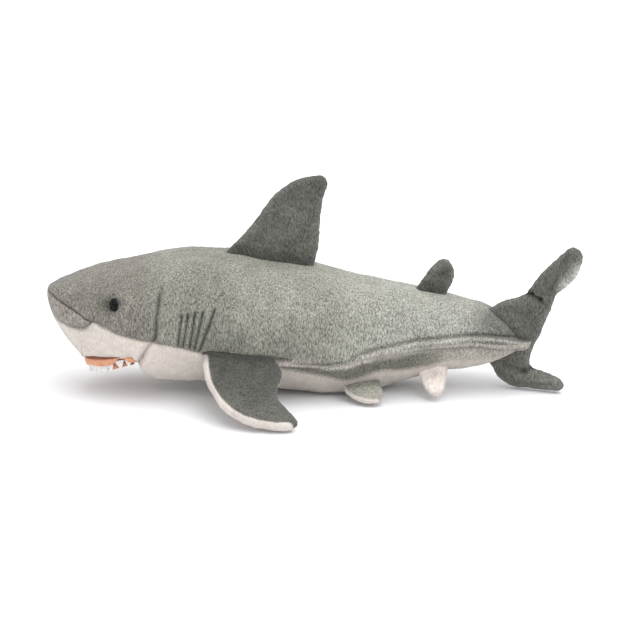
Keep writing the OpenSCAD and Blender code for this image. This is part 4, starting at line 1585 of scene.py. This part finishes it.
# ------------------------------------------------------------------ sewing with geometry nodes
@dataclass(frozen=True)
class StitchRow:
    """A row of thread stitches laid along lines, made by a geometry-nodes tree."""

    pitch: float
    stitch: float
    thread: float

    def tree(self, material: bpy.types.Material) -> bpy.types.NodeTree:
        """The stitching tree: lines in, thread out.

        Args:
            material: the thread.

        Returns:
            The node tree.
        """
        name = f"stitches_{material.name}"
        if bpy.data.node_groups.get(name):
            return bpy.data.node_groups[name]
        group = bpy.data.node_groups.new(name, "GeometryNodeTree")
        group.interface.new_socket("Lines", in_out="INPUT", socket_type="NodeSocketGeometry")
        for label, value in (("Pitch", 3 * MM), ("Stitch", 2 * MM), ("Thread", 0.35 * MM)):
            socket = group.interface.new_socket(label, in_out="INPUT", socket_type="NodeSocketFloat")
            socket.default_value = value
        group.interface.new_socket("Thread", in_out="OUTPUT", socket_type="NodeSocketGeometry")
        nodes, links = group.nodes, group.links
        given, result = nodes.new("NodeGroupInput"), nodes.new("NodeGroupOutput")
        curve = nodes.new("GeometryNodeMeshToCurve")
        spaced = nodes.new("GeometryNodeResampleCurve")
        spaced.mode = "LENGTH"
        tangent = nodes.new("GeometryNodeInputTangent")
        turn = nodes.new("FunctionNodeAlignRotationToVector")
        turn.axis = "Z"
        ball = nodes.new("GeometryNodeMeshIcoSphere")
        ball.inputs["Subdivisions"].default_value = 1
        ball.inputs["Radius"].default_value = 1.0
        size = nodes.new("ShaderNodeCombineXYZ")
        half = nodes.new("ShaderNodeMath")
        half.operation = "MULTIPLY"
        half.inputs[1].default_value = 0.5
        each = nodes.new("GeometryNodeInstanceOnPoints")
        real = nodes.new("GeometryNodeRealizeInstances")
        finish = nodes.new("GeometryNodeSetMaterial")
        finish.inputs["Material"].default_value = material
        links.new(given.outputs["Lines"], curve.inputs["Mesh"])
        links.new(curve.outputs["Curve"], spaced.inputs["Curve"])
        links.new(given.outputs["Pitch"], spaced.inputs["Length"])
        links.new(tangent.outputs["Tangent"], turn.inputs["Vector"])
        links.new(given.outputs["Stitch"], half.inputs[0])
        links.new(given.outputs["Thread"], size.inputs["X"])
        links.new(given.outputs["Thread"], size.inputs["Y"])
        links.new(half.outputs[0], size.inputs["Z"])
        links.new(spaced.outputs["Curve"], each.inputs["Points"])
        links.new(ball.outputs["Mesh"], each.inputs["Instance"])
        links.new(turn.outputs["Rotation"], each.inputs["Rotation"])
        links.new(size.outputs[0], each.inputs["Scale"])
        links.new(each.outputs["Instances"], real.inputs["Geometry"])
        links.new(real.outputs["Geometry"], finish.inputs["Geometry"])
        links.new(finish.outputs["Geometry"], result.inputs["Thread"])
        return group

    def sew(
        self,
        name: str,
        lines: list[np.ndarray],
        material: bpy.types.Material,
    ) -> bpy.types.Object:
        """Sews one piece of stitching.

        Args:
            name: the piece's name.
            lines: the lines, each N by 3 in metres.
            material: the thread.

        Returns:
            The new piece.
        """
        mesh = bpy.data.meshes.new(name)
        points, edges = [], []
        for line in lines:
            first = len(points)
            points.extend(line.tolist())
            edges.extend((k, k + 1) for k in range(first, len(points) - 1))
        mesh.from_pydata(points, edges, [])
        piece = bpy.data.objects.new(name, mesh)
        bpy.context.scene.collection.objects.link(piece)
        live = piece.modifiers.new("stitches", "NODES")
        live.node_group = self.tree(material)
        sizes = {"Pitch": self.pitch, "Stitch": self.stitch, "Thread": self.thread}
        for item in live.node_group.interface.items_tree:
            if item.in_out == "INPUT" and item.name in sizes:
                live[item.identifier] = sizes[item.name]
        graph = bpy.context.evaluated_depsgraph_get()
        done = bpy.data.meshes.new_from_object(piece.evaluated_get(graph))
        piece.modifiers.remove(live)
        piece.data = done
        done.shade_smooth()
        return piece

    def dress(self, piece: bpy.types.Object, *nodes: str) -> None:
        """Binds the stitching to the head and trunk.

        Args:
            piece: the object from sew.
            nodes: the CAD nodes it stands for, where it has one.
        """
        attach(piece, "torso")
        if nodes:
            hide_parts(*nodes)


# ------------------------------------------------------------------ mouth
@dataclass(frozen=True)
class Mouth:
    """Gum roll, felt teeth and stitching along the upper lip. Millimetres from the front lip."""

    lip: tuple = ((50, -46), (38, -42.7), (26, -38.7), (16, -33.7), (8.5, -27.2), (3.5, -19),
                  (0.8, -10), (0, 0), (0.8, 10), (3.5, 19), (8.5, 27.2), (16, 33.7), (26, 38.7),
                  (38, 42.7), (50, 46))
    gum_tall: tuple = ((0, 8.0), (22, 8.2), (29, 7.0), (35, 2.4), (38, 1.6), (41, 3.0), (44, 7.0), (60, 7.0))
    gum_thick: float = 3.4
    chin: float = 4.4  # how much lower the gum hangs at the front
    felt_inset: float = 3.5
    felt: float = 1.3
    band_low: float = 7.2
    teeth: tuple = ((3.4, 6.2, 4.2), (10.2, 6.2, 4.2), (16.6, 5.6, 4.2), (22.2, 5.2, 4.4), (27.6, 5.2, 4.6),
                    (33.2, 5.6, 4.8), (39.4, 6.0, 5.0), (45.6, 5.6, 4.6), (55.0, 9.0, 7.6),
                    (63.4, 7.0, 6.0))  # place, width, length

    def at(self, flat: np.ndarray, height: np.ndarray) -> np.ndarray:
        """Puts points of the mouth's plan in space.

        Args:
            flat: N by 2 points, back from the lip and across.
            height: N heights above the lip plane.

        Returns:
            N by 3 positions in metres.
        """
        rise = math.radians(BodyShape.lip_rise)
        x, z = flat[:, 0], height
        return np.stack([LIP_X + MM * (x * math.cos(rise) - z * math.sin(rise)), flat[:, 1] * MM,
                         BodyShape.lip_front * MM + MM * (x * math.sin(rise) + z * math.cos(rise))], axis=1)

    @staticmethod
    def inward(line: np.ndarray) -> np.ndarray:
        """Directions across a line, towards the inside of the mouth.

        Args:
            line: N by 2 points.

        Returns:
            N by 2 unit vectors.
        """
        run = np.gradient(line, axis=0)
        run /= np.linalg.norm(run, axis=1, keepdims=True)
        return np.stack([run[:, 1], -run[:, 0]], axis=1)

    def gum(self, material: bpy.types.Material) -> bpy.types.Object:
        """The coral roll along the upper lip.

        Args:
            material: its finish.

        Returns:
            The new piece.
        """
        line = through(self.lip, 1.2)
        line = line + self.inward(line) * self.gum_thick / 2
        tall = Curve(self.gum_tall)(line[:, 0])
        rings, around = [], 18
        deeper = self.chin * smooth(24, 6, np.abs(line[:, 1]))
        for k in range(around):
            a = 2 * math.pi * k / around
            out = np.sign(math.cos(a)) * abs(math.cos(a)) ** 0.8 * self.gum_thick / 2
            side = line - self.inward(line) * out
            low = (tall + deeper) / 2
            rings.append(self.at(side, 2.3 - low + low * math.sin(a)))
        points = np.stack(rings)  # around x along
        flat = points.reshape(-1, 3)
        flat = flat + 0.25 * MM * lumps(flat, 3 * MM, 71)[:, None] * np.array([0.3, 0.3, 0.6])
        n, m = points.shape[:2]
        faces = [(i * m + j, i * m + j + 1, (i + 1) % n * m + j + 1, (i + 1) % n * m + j)
                 for i in range(n) for j in range(m - 1)]
        centres = [flat.reshape(n, m, 3)[:, 0].mean(axis=0), flat.reshape(n, m, 3)[:, -1].mean(axis=0)]
        flat = np.concatenate([flat, centres])
        faces += [(n * m, (i + 1) % n * m, i * m, n * m) for i in range(n)]
        faces += [(n * m + 1, i * m + m - 1, (i + 1) % n * m + m - 1, n * m + 1) for i in range(n)]
        tint = dye(Tone.CORAL, flat, 73, 0.3)
        # painted shade on the top of the roll, tucked under the lip
        deep = np.zeros(len(flat))
        for k in range(around):
            deep[k * m:(k + 1) * m] = smooth(0.35, 0.95, np.array(math.sin(2 * math.pi * k / around)))
        tint[:, :3] = mix(tint[:, :3], Tone.CORAL_IN_SHADE.linear[None], 0.8 * deep)
        return sewn_shell("upper_gum_plush", flat, faces, tint, material)

    def felt_teeth(self, material: bpy.types.Material) -> bpy.types.Object:
        """The felt strip and its points, cut from one sheet.

        Args:
            material: its finish.

        Returns:
            The new piece.
        """
        line = through(self.lip, 0.5)
        line = line + self.inward(line) * self.felt_inset
        run = np.concatenate([[0], np.cumsum(np.linalg.norm(np.diff(line, axis=0), axis=1))])
        middle = run[np.argmin(np.abs(line[:, 1]) + (line[:, 0] > 20) * 99)]
        reach = run[-1] - middle
        across = np.arange(-reach, reach + 0.01, 0.5)
        low = np.full(len(across), self.band_low)
        spot = np.stack([np.interp(across + middle, run, line[:, k]) for k in range(2)], axis=1)
        lift = 5.4 * smooth(43, 54, np.abs(across)) - self.chin * smooth(22, 5, np.abs(spot[:, 1]))
        for place, width, length in self.teeth:
            near = 1 - np.abs(np.abs(across) - place) / (width / 2)
            low = np.maximum(low, self.band_low + (length + 1.0) * np.clip(near, 0, 1) ** 0.85)
        low = low - lift
        high = np.full(len(across), 2.0)
        rows = 12
        cross = self.inward(spot)
        grid = []
        for r in range(rows + 1):
            share = r / rows
            height = -(high + (low - high) * share)
            curl = -cross * 0.8 * share**2
            thick = self.felt / 2 * (1 - 0.25 * share)
            grid.append((spot + curl, height, thick))
        front = [self.at(curled - cross * thick, height) for curled, height, thick in grid]
        back = [self.at(curled + cross * thick, height) for curled, height, thick in grid]
        n, m = rows + 1, len(across)
        flat = np.concatenate([*front, *back])
        flat = flat + 0.12 * MM * lumps(flat, 1.6 * MM, 77)[:, None]
        faces = []
        for i in range(rows):
            for j in range(m - 1):
                a, b, c, d = i * m + j, i * m + j + 1, (i + 1) * m + j + 1, (i + 1) * m + j
                faces.append((a, b, c, d))
                faces.append((n * m + a, n * m + d, n * m + c, n * m + b))
        for j in range(m - 1):
            faces.append((j, n * m + j, n * m + j + 1, j + 1))
            e = rows * m + j
            faces.append((e, e + 1, n * m + e + 1, n * m + e))
        for i in range(rows):
            a, b = i * m, (i + 1) * m
            faces.append((a, b, n * m + b, n * m + a))
            a, b = i * m + m - 1, (i + 1) * m + m - 1
            faces.append((a, n * m + a, n * m + b, b))
        tint = np.tile(np.array([[0.86, 0.84, 0.82, 0.06]]), (len(flat), 1))
        return sewn_shell("upper_teeth_felt", flat, faces, tint, material)

    def seam_lines(self) -> list[np.ndarray]:
        """Lines of the stitches that hold the gum to the lip.

        Returns:
            One line along the lip.
        """
        line = through(self.lip, 1.0)
        keep = line[:, 0] < 39
        line = line[keep] - self.inward(line[keep]) * 0.2
        return [self.at(line, np.full(len(line), 1.7))]

    def dress(self, gum: bpy.types.Object, teeth: bpy.types.Object) -> None:
        """Binds the gum and teeth to the head.

        Args:
            gum: the object from gum.
            teeth: the object from felt_teeth.
        """
        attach(gum, "torso")
        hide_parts("upper_gum")
        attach(teeth, "torso")
        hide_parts("upper_teeth")


def sewn_shell(
    name: str,
    points: np.ndarray,
    faces: list[tuple[int, ...]],
    tint: np.ndarray,
    material: bpy.types.Material,
) -> bpy.types.Object:
    """A closed, tinted shell whose faces are turned outwards.

    Args:
        name: the piece's name.
        points: N by 3 positions in metres.
        faces: corner indices; a repeated corner makes a triangle.
        tint: N by 4 tints.
        material: the finish.

    Returns:
        The new piece.
    """
    mesh = bpy.data.meshes.new(name)
    mesh.from_pydata(points.tolist(), [], [tuple(dict.fromkeys(face)) for face in faces])
    layer = mesh.attributes.new("tint", "FLOAT_COLOR", "POINT")
    layer.data.foreach_set("color", np.clip(tint, 0, 1.5).astype(np.float32).ravel())
    shell = bmesh.new()
    shell.from_mesh(mesh)
    bmesh.ops.remove_doubles(shell, verts=shell.verts, dist=0.01 * MM)
    bmesh.ops.recalc_face_normals(shell, faces=shell.faces)
    shell.to_mesh(mesh)
    shell.free()
    mesh.shade_smooth()
    mesh.materials.append(material)
    piece = bpy.data.objects.new(name, mesh)
    bpy.context.scene.collection.objects.link(piece)
    return piece


# ------------------------------------------------------------------ eyes
@dataclass(frozen=True)
class SafetyEye:
    """A domed eye on a ribbed stem, held from inside by a toothed washer."""

    dome: tuple = ((0, 3.3), (1.6, 3.15), (3.1, 2.7), (4.5, 1.9), (5.5, 0.9), (5.9, 0), (5.8, -1.2),
                   (5.0, -1.8), (2.2, -2.0), (1.9, -4.0), (2.1, -4.4), (1.9, -4.8), (2.1, -6.4),
                   (1.9, -6.8), (2.1, -8.4), (1.9, -8.8), (2.0, -12.4), (0, -13.0))
    washer: tuple = ((2.3, -12.0), (3.2, -10.4), (4.4, -10.0), (6.9, -10.0), (7.1, -10.6), (6.9, -11.2),
                     (4.6, -11.4), (3.4, -12.0), (2.3, -12.0))
    turn: float = 27.0  # degrees outwards from straight ahead
    lift: float = 0.104  # how far it looks up, against one step ahead
    facets: int = 40

    def build(
        self, side: int, gloss: bpy.types.Material, matte: bpy.types.Material
    ) -> list[bpy.types.Object]:
        """Turns the eye and its washer.

        Args:
            side: 1 for the right eye, -1 for the left.
            gloss: finish of the eye.
            matte: finish of the washer.

        Returns:
            The eye and the washer.
        """
        word = "right" if side > 0 else "left"
        turn = math.radians(self.turn)
        normal = Vector((-math.cos(turn), side * math.sin(turn), self.lift)).normalized()
        across = normal.cross(Vector((0, 0, 1))).normalized()
        basis = np.array([across, across.cross(normal), normal])
        pieces = []
        for name, profile, finish in (
            (f"{word}_eye_dome", self.dome, gloss),
            (f"{word}_eye_lock", self.washer, matte),
        ):
            line = np.array(profile, float)
            count = self.facets
            angles = np.linspace(0, 2 * math.pi, count, endpoint=False)
            ring = np.stack([np.outer(np.cos(angles), line[:, 0]), np.outer(np.sin(angles), line[:, 0]),
                             np.broadcast_to(line[:, 1], (count, len(line)))], axis=-1)
            flat = (ring.reshape(-1, 3) * MM) @ basis + np.array(EYE_AT) * (1, side, 1)
            m = len(line)
            faces = [(i * m + j, i * m + j + 1, (i + 1) % count * m + j + 1, (i + 1) % count * m + j)
                     for i in range(count) for j in range(m - 1)]
            tint = np.ones((len(flat), 4))
            pieces.append(sewn_shell(name, flat, faces, tint, finish))
        return pieces

    def dress(self, side: int, pieces: list[bpy.types.Object]) -> None:
        """Binds the eye and washer to the head.

        Args:
            side: 1 for the right eye, -1 for the left.
            pieces: the objects from build.
        """
        word = "right" if side > 0 else "left"
        for piece, node, slot in zip(pieces, (f"{word}_eye", f"{word}_eye_washer"), ("eye_black", "washer")):
            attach(piece, "torso")
            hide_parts(node)


# ------------------------------------------------------------------ stage
@dataclass(frozen=True)
class Lamp:
    """A square soft light that points at the toy."""

    name: str
    place: tuple[float, float, float]
    size: float
    power: float

    def build(self) -> None:
        """Hangs the lamp."""
        light = bpy.data.lights.new(self.name, "AREA")
        light.size = self.size
        light.energy = self.power
        lamp = bpy.data.objects.new(self.name, light)
        lamp.location = self.place
        lamp.rotation_mode = "QUATERNION"
        lamp.rotation_quaternion = (Vector((0, 0, 0.05)) - Vector(self.place)).to_track_quat("-Z", "Y")
        bpy.context.scene.collection.objects.link(lamp)


@dataclass(frozen=True)
class Studio:
    """Floor, lights and camera."""

    reach: float = 6.0  # from the middle of the floor to its edge
    floor_colour: tuple[float, float, float] = (0.915, 0.925, 0.945)
    sky: float = 0.80
    lamps: tuple[Lamp, ...] = (
        Lamp("key", (0.75, -0.85, 1.9), 2.2, 25.0),
        Lamp("top", (0.2, 0.5, 2.1), 2.4, 26.0),
        Lamp("eye_glint", (-1.34, -0.555, 0.867), 0.1, 0.8),
    )
    distance: float = 2.2
    rise: float = 18.0  # degrees above level
    target: tuple[float, float, float] = (-0.002, 0, 0.0696)
    view_width: float = 562.5 * MM

    def build(self) -> None:
        """Lays the floor, hangs the lights and sets up the camera."""
        self._floor()
        self._sky()
        for lamp in self.lamps:
            lamp.build()
        self._camera()

    def _floor(self) -> None:
        """Lays the floor."""
        mesh = bpy.data.meshes.new("floor")
        r = self.reach
        mesh.from_pydata([(-r, -r, 0), (r, -r, 0), (r, r, 0), (-r, r, 0)], [], [(0, 1, 2, 3)])
        mesh.materials.append(PlainFinish("floor_white", self.floor_colour, 0.9).material())
        floor = bpy.data.objects.new("floor", mesh)
        bpy.context.scene.collection.objects.link(floor)

    def _sky(self) -> None:
        """Sets the even light from all round."""
        world = bpy.data.worlds.new("studio")
        bpy.context.scene.world = world
        world.use_nodes = True
        sky = world.node_tree.nodes["Background"]
        sky.inputs["Color"].default_value = (0.985, 0.99, 1, 1)
        sky.inputs["Strength"].default_value = self.sky

    def _camera(self) -> None:
        """Sets up the camera on the toy's left side."""
        rise = math.radians(self.rise)
        data = bpy.data.cameras.new("camera")
        data.sensor_width = 36
        data.lens = 36 * self.distance / self.view_width
        camera = bpy.data.objects.new("camera", data)
        back = Vector((0, -math.cos(rise), math.sin(rise)))
        camera.location = Vector(self.target) + back * self.distance
        camera.rotation_mode = "QUATERNION"
        camera.rotation_quaternion = (-back).to_track_quat("-Z", "Y")
        bpy.context.scene.collection.objects.link(camera)
        bpy.context.scene.camera = camera


def main() -> None:
    """Builds every sub-assembly in order and reports it."""
    logging.basicConfig(level=logging.INFO, format="%(name)s: %(message)s")
    bpy.context.scene.view_settings.view_transform = "Standard"
    pile = PileFinish("pile").material()
    coral = PileFinish("coral_pile", 1.1 * MM, 0.4 * MM, 0.1).material()
    felt = PileFinish("white_felt", 0.9 * MM, 0.25 * MM, 0.1).material()
    gloss = PlainFinish("black_gloss", (0.002, 0.002, 0.003), 0.06, 0.16).material()
    moulded = PlainFinish("white_moulding", (0.75, 0.74, 0.71), 0.45).material()
    grey_thread = PlainFinish("grey_thread", (0.06, 0.058, 0.052), 0.8).material()
    brown_thread = PlainFinish("brown_thread", (0.16, 0.065, 0.045), 0.8).material()

    body = StuffedBody(BodyShape())
    panels = body.build(pile)
    body.dress(panels)
    LOG.info("body: %d panels, %d points", len(panels), body.points.size // 3)

    for fin in FinSet().fins():
        piece = fin.build(pile)
        fin.dress(piece)
        LOG.info("%s: %d faces", fin.name, len(piece.data.polygons))

    mouth = Mouth()
    mouth.dress(mouth.gum(coral), mouth.felt_teeth(felt))
    lip_stitches = StitchRow(2.2 * MM, 2.3 * MM, 0.4 * MM)
    lip_stitches.dress(lip_stitches.sew("gum_stitches", mouth.seam_lines(), brown_thread))
    body.dress_lining(body.lining(coral))
    LOG.info("mouth: gum, teeth, stitches and lining")

    gill_stitches = StitchRow(3.4 * MM, 2.6 * MM, 0.32 * MM)
    for side, word in ((-1, "left"), (1, "right")):
        eye = SafetyEye()
        eye.dress(side, eye.build(side, gloss, moulded))
        thread = gill_stitches.sew(f"gill_thread_{word}", body.gill_lines(side), grey_thread)
        gill_stitches.dress(thread, f"gill_stitches_{word}")
        LOG.info("%s eye and gill stitches", word)

    Studio().build()


if __name__ == "__main__":
    main()
